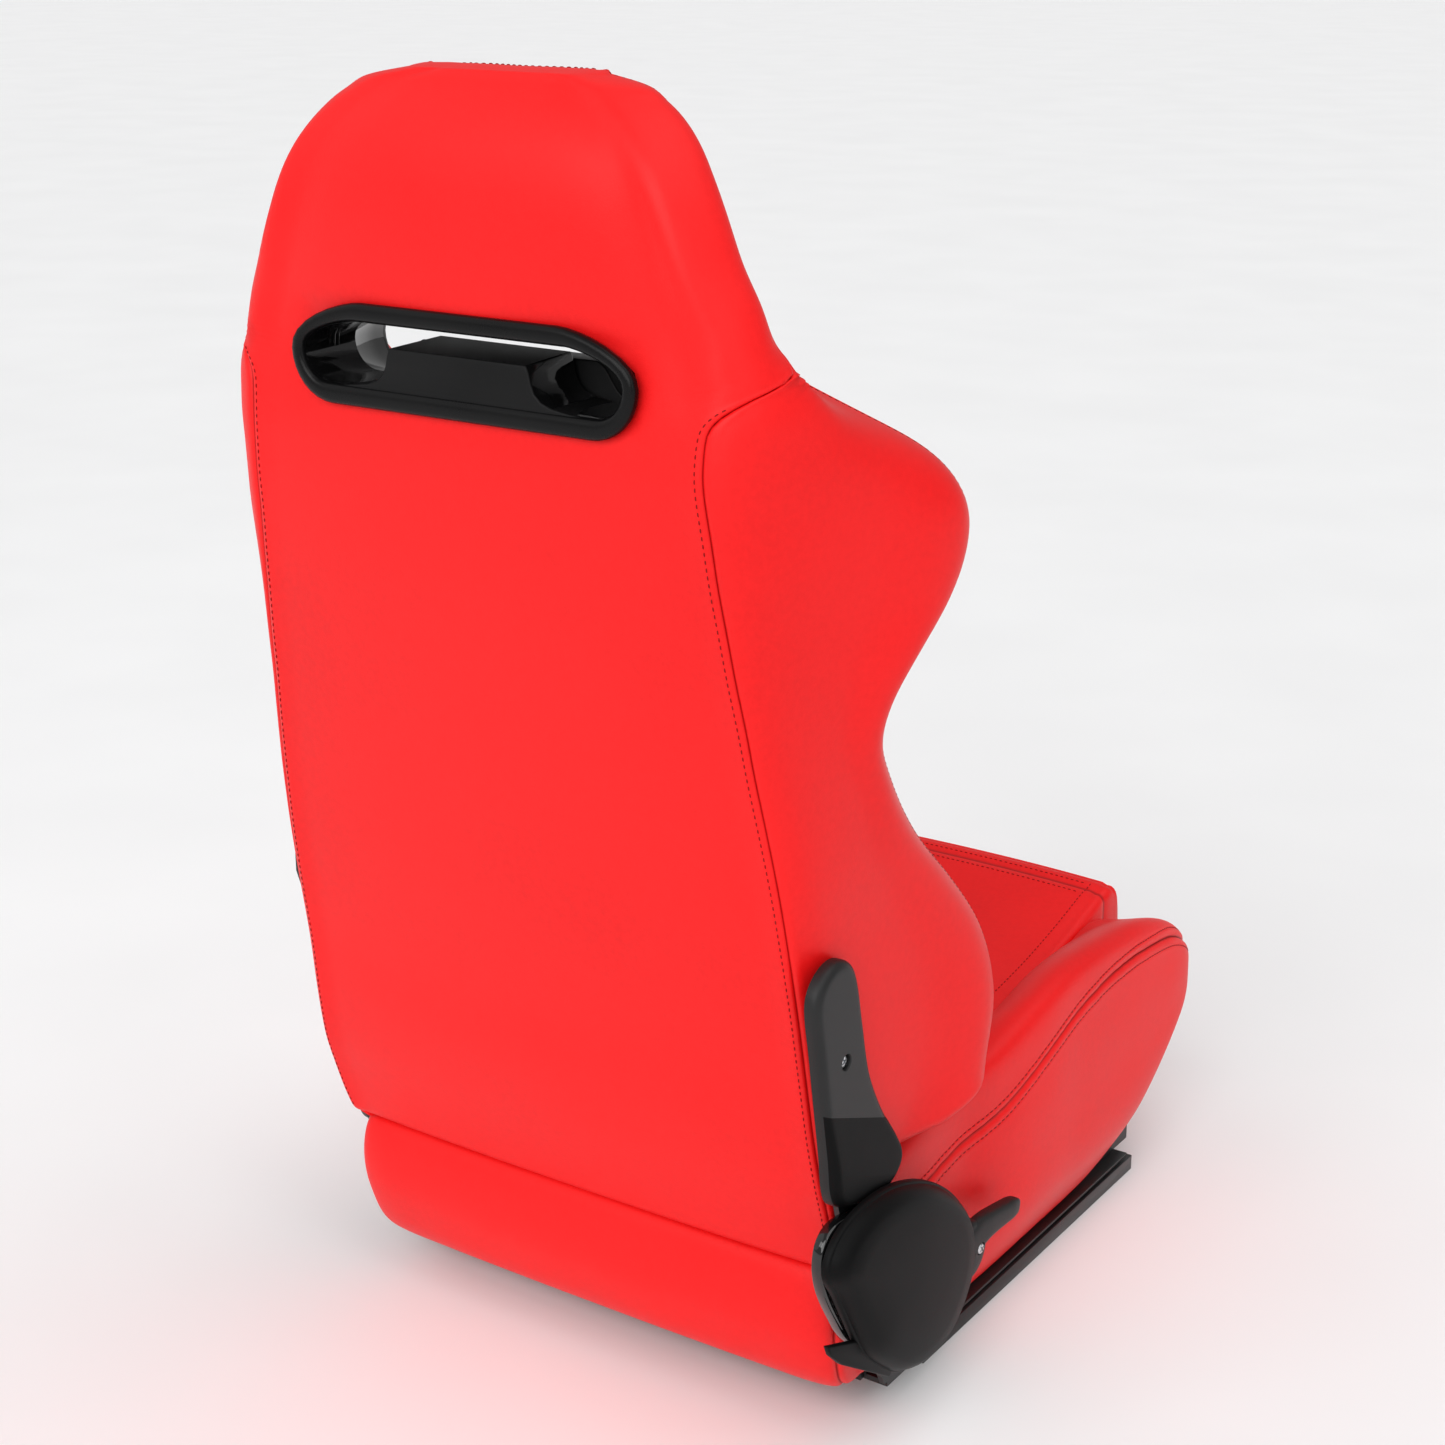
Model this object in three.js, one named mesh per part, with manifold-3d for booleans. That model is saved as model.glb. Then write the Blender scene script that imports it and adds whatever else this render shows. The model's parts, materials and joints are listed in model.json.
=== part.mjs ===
// Reclining bucket-style sports seat on a pair of slide rails.
// Units are millimetres, +Z is up, -Y is the way the occupant faces, and +X is
// the occupant's left hand side.  The origin is on the floor plane under the
// middle of the seat.  "fwd" is the distance forward of the lower rear edge of
// the backrest, so Y = FWD_ORIGIN - fwd.
import * as THREE from 'three';
import { mergeVertices } from 'three/addons/utils/BufferGeometryUtils.js';
import Module from 'manifold-3d';

// ---------------------------------------------------------------- dimensions
const FWD_ORIGIN = 232.6;        // Y of the backrest's lower rear edge
const GAP = 0.3;               // clearance between touching pieces
const PIVOT_FWD = 40;          // recline axis, forward of the lower rear edge
const PIVOT_Z = 138;           // recline axis height
const RAIL_X = 197;            // centre of each slide rail from the middle
const RAIL_REAR = 134;         // rear end of the rails (fwd)
const RAIL_FRONT = 492;        // front end of the rails (fwd)
const RAIL_W = 30;             // lower rail width
const RAIL_H = 13;             // lower rail height
const RAIL_T = 2;              // lower rail wall
const PAD_HALF = 150;          // half width of the cushion's centre pad
const BRACKET_X = 216;         // middle of the base bracket plate
const ARM_X = 229;             // middle of the backrest arm plate
const PLATE_T = 4;             // bracket and arm thickness
const DRUM_X0 = 231.5, DRUM_X1 = 239.5;   // drum cover span
const HOOD_X0 = 242, HOOD_X1 = 262;       // outer recliner cover span
const COVER_X0 = 226.6, COVER_X1 = 240;   // arm cover span
const LEVER_FWD = 146, LEVER_Z = 98;      // recline lever axis
const LEVER_X0 = 232, LEVER_X1 = 246;
const TOWEL_FWD = 420, TOWEL_Z = 27;      // slide release bar axis
const SLOT_Z0 = 737, SLOT_Z1 = 777;       // harness slot, bottom and top
const SLOT_HALF = 126;                    // harness slot half length, rear
const SLOT_HALF_FRONT = 143;              // harness slot half length, front

// backrest outer form, one row for each height: half-width points of the
// section, from the rear centre line round to the front centre line
//  z,  xr,   fr,   cr,  x4,  f4,  x5,  f5,  xt,  ft,  xi,  fi,  xb,  fc
const BACK = [
  [142, 215, -2, 3, 213, 7, 213, 50, 240, 150, 200, 140, 150, 58],
  [150, 217, -5, 3, 213, 6, 213, 50, 242, 150, 200, 140, 150, 60],
  [170, 220, -11, 4, 213, 6, 213, 52, 246, 152, 203, 142, 150, 60],
  [190, 221, -17, 5, 218, 6, 218, 56, 248, 154, 203, 146, 150, 60],
  [214, 221, -25, 5, 221, 4, 221, 62, 249, 156, 204, 148, 150, 59],
  [246, 219, -32, 6, 222, -4, 228, 72, 249, 158, 204, 150, 150, 58],
  [304, 216, -41, 6, 222, -14, 234, 76, 250, 166, 204, 156, 150, 54],
  [355, 214.5, -50, 6, 222, -24, 232, 66, 244, 153, 200, 142, 148, 45],
  [400, 212, -58, 6, 221, -38, 228, 42, 237, 120, 194, 110, 144, 36],
  [437, 209, -64, 6, 218, -50, 226, 22, 232, 86, 189, 78, 140, 28],
  [490, 203, -73, 6, 212, -60, 223, 4, 230, 50, 185, 42, 130, 14],
  [520, 199, -78, 6, 208, -67, 222, -10, 232, 34, 186, 27, 128, 7],
  [550, 196, -83, 6, 205, -73, 224, -16, 239, 34, 191, 28, 126, 1],
  [580, 192, -88, 6, 203, -78, 228, -16, 249, 48, 199, 42, 124, -6],
  [612, 188.5, -93, 6, 201, -84, 233, -10, 257, 72, 205, 64, 123, -11],
  [646, 184.5, -98, 5, 200, -89, 237, -6, 262, 84, 209, 74, 122, -16],
  [668, 183, -101, 4, 199, -91, 238, -6, 261, 85, 208, 75, 121, -18],
  [690, 180.5, -103.5, 3, 198, -93, 236, -10, 251, 79, 199, 70, 120, -20],
  [708, 179, -105, 2, 198, -94, 232, -18, 237, 64, 188, 54, 119, -17],
  [725, 179.4, -103.5, 2, 199, -92, 226, -26, 219, 39, 172, 28, 118, -15],
  [741, 181, -101.5, 3, 201, -89, 220, -34, 204, 14, 160, 4, 116, -14],
  [757, 184, -96.5, 8, 203, -80, 213, -42, 190, -10, 150, -12, 112, -13],
  [770, 186, -94, 11, 203, -74, 204, -48, 180, -22, 146, -14, 108, -12],
  [783, 186, -92, 14, 199, -66, 190, -48, 172, -28, 142, -14, 104, -11],
  [800, 178, -94, 13, 193.5, -66, 176, -42, 152, -20, 128, -8, 96, -5],
  [825, 166, -97, 11, 180, -66, 162, -42, 139, -20, 116, -4, 88, 4],
  [850, 155, -97, 11, 170, -66, 151, -42, 127, -20, 106, 0, 80, 8],
  [875, 142, -95, 10, 158, -64, 140, -42, 117, -20, 96, -2, 72, 6],
  [900, 122, -88, 9, 141, -60, 124, -40, 104, -20, 82, -6, 62, -2],
  [915, 104, -80, 7, 123, -58, 108, -38, 90, -20, 70, -12, 54, -10],
  [925, 84, -72, 4, 103, -55, 90, -38, 76, -22, 58, -18, 44, -18],
  [930, 62, -66, 2, 76, -52, 68, -38, 56, -28, 44, -27, 34, -27],
];

// seat cushion side form, one row for each distance forward:
//  fwd, zb,  x0,  xs,  zs,  xc,  zc,  xi,  zi,  zp
// zb underside, x0 underside half width, (xs, zs) widest point, (xc, zc) crest,
// (xi, zi) inner edge of the crest, zp height where the centre pad is met
const SEAT = [
  [76, 24, 206, 211, 110, 206, 184, 178, 182, 158],
  [100, 24, 206, 211, 112, 207, 194, 178, 190, 158],
  [124, 24, 206, 212, 114, 208, 201, 179, 196, 159],
  [165, 22, 206, 212.5, 116, 210, 211, 180, 205, 162],
  [180, 21, 206, 213.4, 117, 212, 214, 181, 208, 163],
  [213, 20, 206, 220, 118, 217, 219, 182, 212, 166],
  [253, 19, 206, 226, 120, 220, 228, 184, 218, 170],
  [293, 19, 206, 228, 122, 221, 236, 185, 222, 175],
  [338, 19, 206, 228, 124, 221, 242, 185, 231, 181],
  [378, 19, 206, 229, 126, 221, 243, 185, 233, 187],
  [425, 22, 206, 230, 130, 221, 238, 185, 230, 194],
  [473, 38, 208, 230, 136, 221, 229, 185, 223, 200],
  [505, 62, 209, 229, 142, 220, 218, 184, 215, 205],
  [535, 96, 209, 227, 150, 217, 204, 184, 207, 190],
  [555, 126, 207, 222, 158, 212, 190, 184, 192, 182],
  [566, 152, 202, 214, 170, 205, 178, 184, 178, 174],
];

// centre pad of the seat: fwd, underside, top
const PAD = [
  [82, 126, 152], [124, 122, 156], [200, 120, 162], [293, 120, 171], [378, 120, 184],
  [440, 116, 194], [473, 104, 201], [505, 76, 209], [530, 54, 216], [552, 58, 221],
  [566, 84, 220], [574, 130, 208], [576, 160, 190],
];

// recliner outlines, (fwd, z)
const HOOD = [[-62, 120], [-57, 181], [-50, 205], [-38, 218], [-18, 222], [8, 219], [40, 208], [66, 192], [90, 172], [108, 155],
  [117, 138], [116, 120], [104, 102], [90, 85], [66, 66], [31, 58], [3, 66], [-38, 96], [-50, 108], [-24, 112]];
const DRUM = [[-24, 108], [-43, 132], [-50, 160], [-47, 182], [-36, 193], [-12, 198], [18, 198.5], [46, 196.5], [72, 186], [90, 165], [92, 138],
  [82, 108], [62, 86], [36, 78], [10, 84]];
const ARM_COVER = [[-63, 372], [-56, 384], [-43, 391], [-30, 391], [-19, 385], [-12, 373], [-4, 340], [6, 300], [22, 268], [44, 236], [50, 224], [47, 214],
  [20, 201], [-8, 206], [-34, 217], [-40, 228], [-44, 255], [-57, 330]];
const SCREW = [-27, 319];     // arm cover screw (fwd, z)
const ARM_PLATE = [[-52, 362], [-44, 376], [-26, 378], [-16, 366], [-8, 330], [4, 290], [30, 240]];
const ARM_PLATE_LEFT = [[21, 146], [2, 205], [-8, 240], [-20, 300], [-36, 350], [-36, 366], [-29, 375], [-18, 372], [-9, 356], [2, 310], [14, 270], [34, 225], [60, 158]];
const BRACKET = [[32, 110], [42, 88], [48, 52], [62, 30], [66, 21.6], [166, 21.6], [172, 32], [172, 110], [160, 122], [120, 134], [82, 152], [64, 160]];

// ------------------------------------------------------------------- helpers
const wasm = await Module();
wasm.setup();

const Y = (fwd) => FWD_ORIGIN - fwd;

// closed BufferGeometry -> solid
function solid(geometry) {
  const g = geometry.clone();
  for (const name of Object.keys(g.attributes)) if (name !== 'position') g.deleteAttribute(name);
  const m = mergeVertices(g, 1e-4);
  const mesh = new wasm.Mesh({
    numProp: 3,
    vertProperties: Float32Array.from(m.attributes.position.array),
    triVerts: Uint32Array.from(m.index.array),
  });
  return new wasm.Manifold(mesh);
}

// solid -> BufferGeometry
function geometryOf(s) {
  const m = s.getMesh();
  const g = new THREE.BufferGeometry();
  const pos = new Float32Array(m.triVerts.length * 3);
  for (let i = 0; i < m.triVerts.length; i++) {
    const v = m.triVerts[i];
    for (let k = 0; k < 3; k++) pos[3 * i + k] = m.vertProperties[v * m.numProp + k];
  }
  g.setAttribute('position', new THREE.BufferAttribute(pos, 3));
  g.computeVertexNormals();
  return g;
}

function rawGeometry(points, faces) {
  const g = new THREE.BufferGeometry();
  g.setAttribute('position', new THREE.Float32BufferAttribute(points.flat(), 3));
  g.setIndex(faces.flat());
  return g;
}

// skin through closed rings of equal length, capped at both ends
function loft(rings, flat) {
  const n = rings[0].length, pts = [], faces = [];
  for (const r of rings) for (const p of r) pts.push(p);
  for (let i = 0; i < rings.length - 1; i++) {
    for (let j = 0; j < n; j++) {
      const a = i * n + j, b = i * n + (j + 1) % n, c = a + n, d = b + n;
      faces.push([a, b, d], [a, d, c]);
    }
  }
  const cap = (k, reverse) => {
    const contour = rings[k].map((p) => new THREE.Vector2(p[flat[0]], p[flat[1]]));
    const turn = Math.sign(THREE.ShapeUtils.area(contour));
    for (const t of THREE.ShapeUtils.triangulateShape(contour, [])) {
      const own = Math.sign(THREE.ShapeUtils.area(t.map((q) => contour[q])));
      const f = t.map((q) => q + k * n);
      faces.push((own === turn) !== reverse ? f : [f[0], f[2], f[1]]);
    }
  };
  cap(0, true);
  cap(rings.length - 1, false);
  let g = rawGeometry(pts, faces);
  if (volume(g) < 0) g = rawGeometry(pts, faces.map((f) => [f[0], f[2], f[1]]));
  return g;
}

function volume(g) {
  const p = g.attributes.position, ix = g.index.array;
  const a = new THREE.Vector3(), b = new THREE.Vector3(), c = new THREE.Vector3();
  let v = 0;
  for (let i = 0; i < ix.length; i += 3) {
    a.fromBufferAttribute(p, ix[i]); b.fromBufferAttribute(p, ix[i + 1]); c.fromBufferAttribute(p, ix[i + 2]);
    v += a.dot(b.cross(c)) / 6;
  }
  return v;
}

// box between two corners given as [x, fwd, z]
function box(lo, hi) {
  const g = new THREE.BoxGeometry(Math.abs(hi[0] - lo[0]), Math.abs(hi[1] - lo[1]), Math.abs(hi[2] - lo[2]));
  g.translate((lo[0] + hi[0]) / 2, Y((lo[1] + hi[1]) / 2), (lo[2] + hi[2]) / 2);
  return solid(g);
}

// plate of (fwd, z) outline between two X planes, with an optional edge round
function plate(outline, x0, x1, bevel = 0, steps = 1) {
  const lo = Math.min(x0, x1), hi = Math.max(x0, x1);
  const shape = new THREE.Shape(outline.map(([f, z]) => new THREE.Vector2(Y(f), z)));
  const g = new THREE.ExtrudeGeometry(shape, {
    depth: hi - lo - 2 * bevel, bevelEnabled: bevel > 0, bevelThickness: bevel, bevelSize: bevel, bevelOffset: -bevel, bevelSegments: steps, curveSegments: 6,
  });
  g.translate(0, 0, bevel);
  const m = new THREE.Matrix4().set(0, 0, 1, lo, 1, 0, 0, 0, 0, 1, 0, 0, 0, 0, 0, 1);
  g.applyMatrix4(m);
  return solid(g);
}

// round bar along X
function rodX(x0, x1, fwd, z, r, sides = 16) {
  const g = new THREE.CylinderGeometry(r, r, Math.abs(x1 - x0), sides);
  g.rotateZ(Math.PI / 2);
  g.translate((x0 + x1) / 2, Y(fwd), z);
  return solid(g);
}

function rodZ(x, fwd, z0, z1, r, sides = 12) {
  const g = new THREE.CylinderGeometry(r, r, z1 - z0, sides);
  g.rotateX(Math.PI / 2);
  g.translate(x, Y(fwd), (z0 + z1) / 2);
  return solid(g);
}

// circle outline in (fwd, z)
function circle(fwd, z, r, n = 24) {
  return Array.from({ length: n }, (_, i) => {
    const a = (i / n) * 2 * Math.PI;
    return [fwd + r * Math.cos(a), z + r * Math.sin(a)];
  });
}

// round wire or tube through points [x, fwd, z]
function tube(points, r, sides, steps, tension = 0.5) {
  const curve = new THREE.CatmullRomCurve3(points.map(([x, f, z]) => new THREE.Vector3(x, Y(f), z)), false, 'catmullrom', tension);
  const shape = new THREE.Shape(Array.from({ length: sides }, (_, i) => {
    const a = (i / sides) * 2 * Math.PI;
    return new THREE.Vector2(r * Math.cos(a), r * Math.sin(a));
  }));
  return solid(new THREE.ExtrudeGeometry(shape, { steps, extrudePath: curve, bevelEnabled: false }));
}

const union = (list) => list.reduce((a, b) => a.add(b));
const mirrorX = (s) => {
  const g = geometryOf(s);
  g.scale(-1, 1, 1);
  const p = g.attributes.position.array;
  for (let i = 0; i < p.length; i += 9) {
    for (let k = 0; k < 3; k++) { const t = p[i + 3 + k]; p[i + 3 + k] = p[i + 6 + k]; p[i + 6 + k] = t; }
  }
  return solid(g);
};

const MATERIALS = {
  cover: [0xe0241f, 0.45, 0.0],
  foam: [0xd8d2bd, 0.9, 0.0],
  steel: [0x26262a, 0.45, 0.8],
  zinc: [0xb9bcc0, 0.35, 0.9],
  spring: [0x6f7276, 0.4, 0.9],
  moulding: [0x2c2c2d, 0.5, 0.0],
  gloss: [0x101011, 0.12, 0.0],
  rail: [0x1c1c1d, 0.35, 0.7],
  grip: [0x202021, 0.55, 0.0],
};
const seat = new THREE.Group();
seat.name = 'sports_seat';
function add(name, s, finish) {
  const [color, roughness, metalness] = MATERIALS[finish];
  const mesh = new THREE.Mesh(geometryOf(s), new THREE.MeshStandardMaterial({ color, roughness, metalness }));
  mesh.name = name;
  seat.add(mesh);
}

const stadium = (half, z0, z1, chamfer) => {
  const r = (z1 - z0) / 2, zc = (z0 + z1) / 2, out = [];
  for (let i = 0; i <= 8; i++) { const a = -Math.PI / 2 + (i / 8) * Math.PI; out.push([half - r + r * Math.cos(a), zc + r * Math.sin(a)]); }
  const top = out.filter(([, z]) => z > zc + r * 0.75);
  if (chamfer) for (const p of top) p[0] -= chamfer * (p[1] - zc - r * 0.5) / r;
  return out.concat(out.slice().reverse().map(([x, z]) => [-x, z]));
};
function prism(outline, f0, f1) {           // outline in (x, z), pushed along fwd
  const shape = new THREE.Shape(outline.map(([x, z]) => new THREE.Vector2(x, z)));
  const g = new THREE.ExtrudeGeometry(shape, { depth: f1 - f0, bevelEnabled: false });
  // shape plane (x, z) -> world, extrusion -> -Y
  g.applyMatrix4(new THREE.Matrix4().set(1, 0, 0, 0, 0, 0, -1, Y(f0), 0, 1, 0, 0, 0, 0, 0, 1));
  return solid(g);
}
function flare(outA, fA, outB, fB) {
  return solid(loft([outA.map(([x, z]) => [x, Y(fA), z]), outB.map(([x, z]) => [x, Y(fB), z])], [0, 2]));
}

// ------------------------------------------------------------ backrest forms
function backRow(z) {
  let i = 0;
  while (i < BACK.length - 2 && BACK[i + 1][0] < z) i++;
  const a = BACK[i], b = BACK[i + 1], t = (z - a[0]) / (b[0] - a[0]);
  return a.map((v, k) => v + (b[k] - v) * t);
}
const rearOf = (z) => { const r = backRow(z); return r[2] - r[3]; };

function ringBothSides(half, z) {
  const right = half.map(([x, f]) => [x, Y(f), z]);
  const left = half.slice(1, -1).reverse().map(([x, f]) => [-x, Y(f), z]);
  return right.concat(left);
}

const backOuter = solid(loft(BACK.map(([z, xr, fr, cr, x4, f4, x5, f5, xt, ft, xi, fi, xb, fc]) => ringBothSides([
  [0, fr - cr], [0.55 * xr, fr - 0.75 * cr], [xr - 22, fr - 0.25 * cr], [xr, fr], [x4, f4], [x5, f5],
  [xt, ft - 20], [xt - 12, ft - 2], [xi, fi], [xb, fc + 4], [0, fc],
], z)), [0, 1]));

// slab that follows the rear face, from depth d0 to d1 under it
function rearSlab(d0, d1, halfOf, zs) {
  return solid(loft(zs.map((z) => {
    const f = rearOf(z), h = halfOf(z);
    return [[-h, Y(f + d0), z], [h, Y(f + d0), z], [h, Y(f + d1), z], [-h, Y(f + d1), z]];
  }), [0, 1]));
}
const LEVELS = [100, 142, 190, 246, 304, 355, 400, 437, 490, 550, 612, 668, 708, 741, 770, 783, 800, 825, 850, 875, 900, 940];
const panelSlab = rearSlab(-60, 12, () => 400, LEVELS);
const panelSlabGap = rearSlab(-60, 12 + GAP, () => 400, LEVELS);

// hollow behind the foam that holds the frame, open at the bottom
const HOLLOW = [100, 142, 190, 246, 304, 355, 400, 437, 490, 550, 612, 646, 690, 741, 783, 800, 825, 850, 875, 896];
const hollowHalf = (z) => Math.max(40, backRow(Math.max(142, z))[1] - 24 - (z > 800 ? (z - 800) * 0.12 : 0));
const frameHollow = rearSlab(6, 42, hollowHalf, HOLLOW);

const slotTrimClear = prism(stadium(158.4, 713.6, 793.4, 20), -13.9, 60);
const slotClear = box([-131.4, -160, 727.6], [131.4, -59.8, 785.4]).add(box([-150.4, -60.2, 721.6], [150.4, 120, 785.4]));

// tubular hoop of the frame, the two cross bars, and the bosses for the arm bolts
const hoopSide = [[190, 12, 168], [188, -2, 240], [184, -18, 330], [178, -38, 450], [168, -58, 560], [158, -72, 650], [155, -79, 700], [155, -76, 760], [146, -72, 805], [128, -71, 840], [96, -70, 872], [50, -70, 884]];
const hoopPath = [...hoopSide, [0, -70, 885], ...hoopSide.slice().reverse().map(([x, f, z]) => [-x, f, z])];
const ARM_BOLTS = [[-6, 262], [-24, 350]];
const hoop = (r, sides = 7, steps = 44) => tube(hoopPath, r, sides, steps);
const crossLow = (r) => tube([[188, -1, 236], [0, -1, 236], [-188, -1, 236]], r, 6, 2);
const crossHigh = (r) => tube([[158, -74, 672], [0, -74, 672], [-158, -74, 672]], r, 6, 2);
const bosses = (x0, x1, r) => ARM_BOLTS.map(([f, z]) => rodX(x0, x1, f, z, r, 12).add(rodX(-x0, -x1, f, z, r, 12))).reduce((a, b) => a.add(b));
const frameClear = hoop(14.5, 6, 36).add(crossLow(8)).add(crossHigh(8)).add(bosses(180, 206, 9)).add(bosses(180, 240, 5))
  .add(rodX(196, 216, PIVOT_FWD, PIVOT_Z, 12, 16)).add(rodX(-196, -216, PIVOT_FWD, PIVOT_Z, 12, 16));

const rest = backOuter.subtract(panelSlabGap).subtract(frameHollow).subtract(slotClear).subtract(frameClear).subtract(slotTrimClear);
const panel = backOuter.intersect(panelSlab).subtract(box([-131.4, -160, 727.6], [131.4, -40, 785.4]));

// regions that split the front foam
const padHalf = (z) => backRow(Math.max(142, z))[12];
function middle(extra, z0, z1) {
  const zs = BACK.map((r) => r[0]).filter((z) => z > z0 + 1 && z < z1 - 1);
  return solid(loft([z0, ...zs, z1].map((z) => {
    const h = padHalf(Math.min(930, z)) + extra;
    return [[-h, Y(-170), z], [h, Y(-170), z], [h, Y(260), z], [-h, Y(260), z]];
  }), [0, 1]));
}
const HEAD_SPLIT = 786;
const padRegion = middle(0, 120, 721.4);
const padRegionGap = middle(GAP, 100, 721.4 + GAP);
const centrePad = rest.intersect(padRegion);
const head = rest.intersect(box([-300, -200, HEAD_SPLIT], [300, 200, 960]));
const lowerCut = plate([[45, 90], [47, 205], [104, 214.5], [168, 242], [190, 262], [290, 290], [290, 90]], -300, 300);
let bolsters = rest.subtract(padRegionGap).subtract(box([-300, -200, HEAD_SPLIT - GAP], [300, 300, 960])).subtract(lowerCut);
bolsters = bolsters.subtract(box([-151, -200, 700], [151, 300, 800]));
const halfSpace = (sign) => box([sign * 0.2, -250, -10], [sign * 400, 700, 1000]);

// backrest: cover panel, pads and side bolsters
add('backrest_centre_pad', centrePad, 'cover');
add('headrest_pad', head, 'cover');
add('backrest_bolster_right', bolsters.intersect(halfSpace(-1)), 'cover');
add('backrest_bolster_left', bolsters.intersect(halfSpace(1)), 'cover');

// backrest frame: tubular hoop with a shoulder cross bar and a lumbar cross bar
add('backrest_frame', union([hoop(9), crossLow(6), crossHigh(6), bosses(190, 203, 7)]), 'steel');

// flat wire suspension across the backrest frame
function zigzag(pts, r) { return tube(pts, r, 5, (pts.length - 1) * 2, 0.3); }
const lumbar = (z, f, half) => {
  const pts = [];
  const n = 9;
  for (let i = 0; i <= n; i++) pts.push([half - (2 * half * i) / n, f, z + (i === 0 || i === n ? 0 : (i % 2 ? 12 : -12))]);
  return pts;
};
add('lumbar_spring_low', zigzag(lumbar(330, -17, 168), 2), 'spring');
add('lumbar_spring_middle', zigzag(lumbar(430, -33, 160), 2), 'spring');
add('lumbar_spring_high', zigzag(lumbar(540, -54, 150), 2), 'spring');

// harness slot: two moulded bezels, one let into each face of the backrest
const rearOpen = stadium(SLOT_HALF, SLOT_Z0, SLOT_Z1);
const frontOpen = stadium(SLOT_HALF_FRONT, 728, SLOT_Z1);
const slotHole = flare(rearOpen, -125, rearOpen, -70).add(flare(rearOpen, -71, frontOpen, -40)).add(flare(frontOpen, -41, frontOpen, 10));
const wedgeRear = plate([[-110.5, 726], [-110.5, 756], [-100, 762.5], [-60, 764], [-60, 726]], -58, 58);
const wedgeFront = plate([[-59.7, 722], [-59.7, 761], [-30, 759], [-9, 752], [-9, 722]], -80, 80);
const rearOuter = prism(stadium(135, 724, 789, 26), -110.8, -106.2).add(prism(stadium(131, 728, 785), -106.4, -60));
const frontOuter = prism(stadium(150, 722, 785), -59.7, -9.2).add(prism(stadium(158, 714, 793, 20), -13.5, -9));
const rearBezel = rearOuter.subtract(slotHole).add(wedgeRear.intersect(rearOuter));
const frontBezel = frontOuter.subtract(slotHole).add(wedgeFront.intersect(frontOuter));
add('backrest_rear_panel', panel.subtract(prism(stadium(135.5, 723.5, 789.5, 26), -150, -105.9)), 'cover');
add('harness_slot_rear_bezel', rearBezel, 'moulding');
add('harness_slot_front_bezel', frontBezel, 'moulding');

// ------------------------------------------------------------ seat cushion
function seatRing(row, side) {
  const [f, zb, x0, xs, zs, xc, zc, xi, zi, zp] = row;
  const pts = [[PAD_HALF + GAP, zb + 4], [x0 - 4, zb], [x0, zb + 4], [xs - 2, (zb + zs) / 2], [xs, zs], [xs - 1, (zs + zc) / 2], [xc, zc - 3], [xc - 9, zc], [xi, zi], [PAD_HALF + 8, zp + 6], [PAD_HALF + GAP, zp]];
  return pts.map(([x, z]) => [side * x, Y(f), z]);
}
const sideFrameRoom = box([178, 30, 10], [200.5, 515, 47]).add(box([140, 64, 10], [200.5, 94, 47])).add(box([140, 486, 10], [200.5, 514, 63]));
const thigh = solid(loft(SEAT.map((r) => seatRing(r, 1)), [0, 2])).subtract(sideFrameRoom).subtract(box([140, 370, 0], [179, 540, 42])).subtract(rodX(200, 216, LEVER_FWD, LEVER_Z, 11, 16));
const thighLeft = thigh;
add('thigh_bolster_left', thighLeft, 'cover');
add('thigh_bolster_right', mirrorX(thighLeft), 'cover');
const centre = solid(loft(PAD.map(([f, lo, hi]) => {
  const h = PAD_HALF, e = 6;
  return [[-h, Y(f), lo], [h, Y(f), lo], [h, Y(f), hi - e], [h - 14, Y(f), hi - 1], [0, Y(f), hi], [-h + 14, Y(f), hi - 1], [-h, Y(f), hi - e]];
}), [0, 2]));
add('seat_centre_pad', centre, 'cover');

// rear skirt of the cushion, closing the space under the backrest
const skirt = solid(loft([[42, 24, 206], [48, 12, 210], [66, 3, 213], [82, -3, 214], [93, -5, 214], [98, -2, 213]].map(([z, f, half]) => {
  const right = [[0, f - 3], [half * 0.6, f - 2.5], [half - 16, f - 0.5], [half - 4, f + 3], [half, Math.min(f + 12, 30)], [half - 1, 34], [half - 6, 38], [half - 18, 40], [0, 40]].map(([x, g]) => [x, Y(g), z]);
  const left = right.slice(1, -1).reverse().map(([x, y, zz]) => [-x, y, zz]);
  return right.concat(left);
}), [0, 1])).subtract(plate([[20, 84], [48, 84], [48, 130], [2, 130], [6, 96]], -300, 300));
add('seat_rear_skirt', skirt, 'cover');

// cushion frame on the upper rails
const frameSide = (s) => box([s * 182, 66, 17.6], [s * 198, 510, 44]);
const seatFrame = union([frameSide(1), frameSide(-1), box([-183, 68, 24], [183, 88, 44]), box([-187, 490, 43], [187, 510, 60]),
  box([-206, 44, 60], [206, 50, 84]), box([186, 44.5, 36], [197, 50, 70]), box([-197, 44.5, 36], [-186, 50, 70]), box([186, 44.5, 36], [197, 70, 43.9]), box([-197, 44.5, 36], [-186, 70, 43.9])]);
add('seat_frame', seatFrame, 'steel');

// suspension wires, hooked on the rear and front cross bars
[-120, -40, 40, 120].forEach((x, i) => {
  const pts = [[x, 78, 46.6], [x, 84, 52], [x, 94, 78], [x, 104, 98]];
  const n = 9;
  for (let k = 0; k <= n; k++) pts.push([x + (k % 2 ? 16 : -16), 118 + (k * 312) / n, 104 + 3 * Math.sin((k / n) * Math.PI)]);
  pts.push([x, 446, 98], [x, 468, 86], [x, 486, 72], [x, 500, 62.6]);
  add(`seat_spring_${['right_outer', 'right_inner', 'left_inner', 'left_outer'][i]}`, zigzag(pts, 2), 'spring');
});

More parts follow.
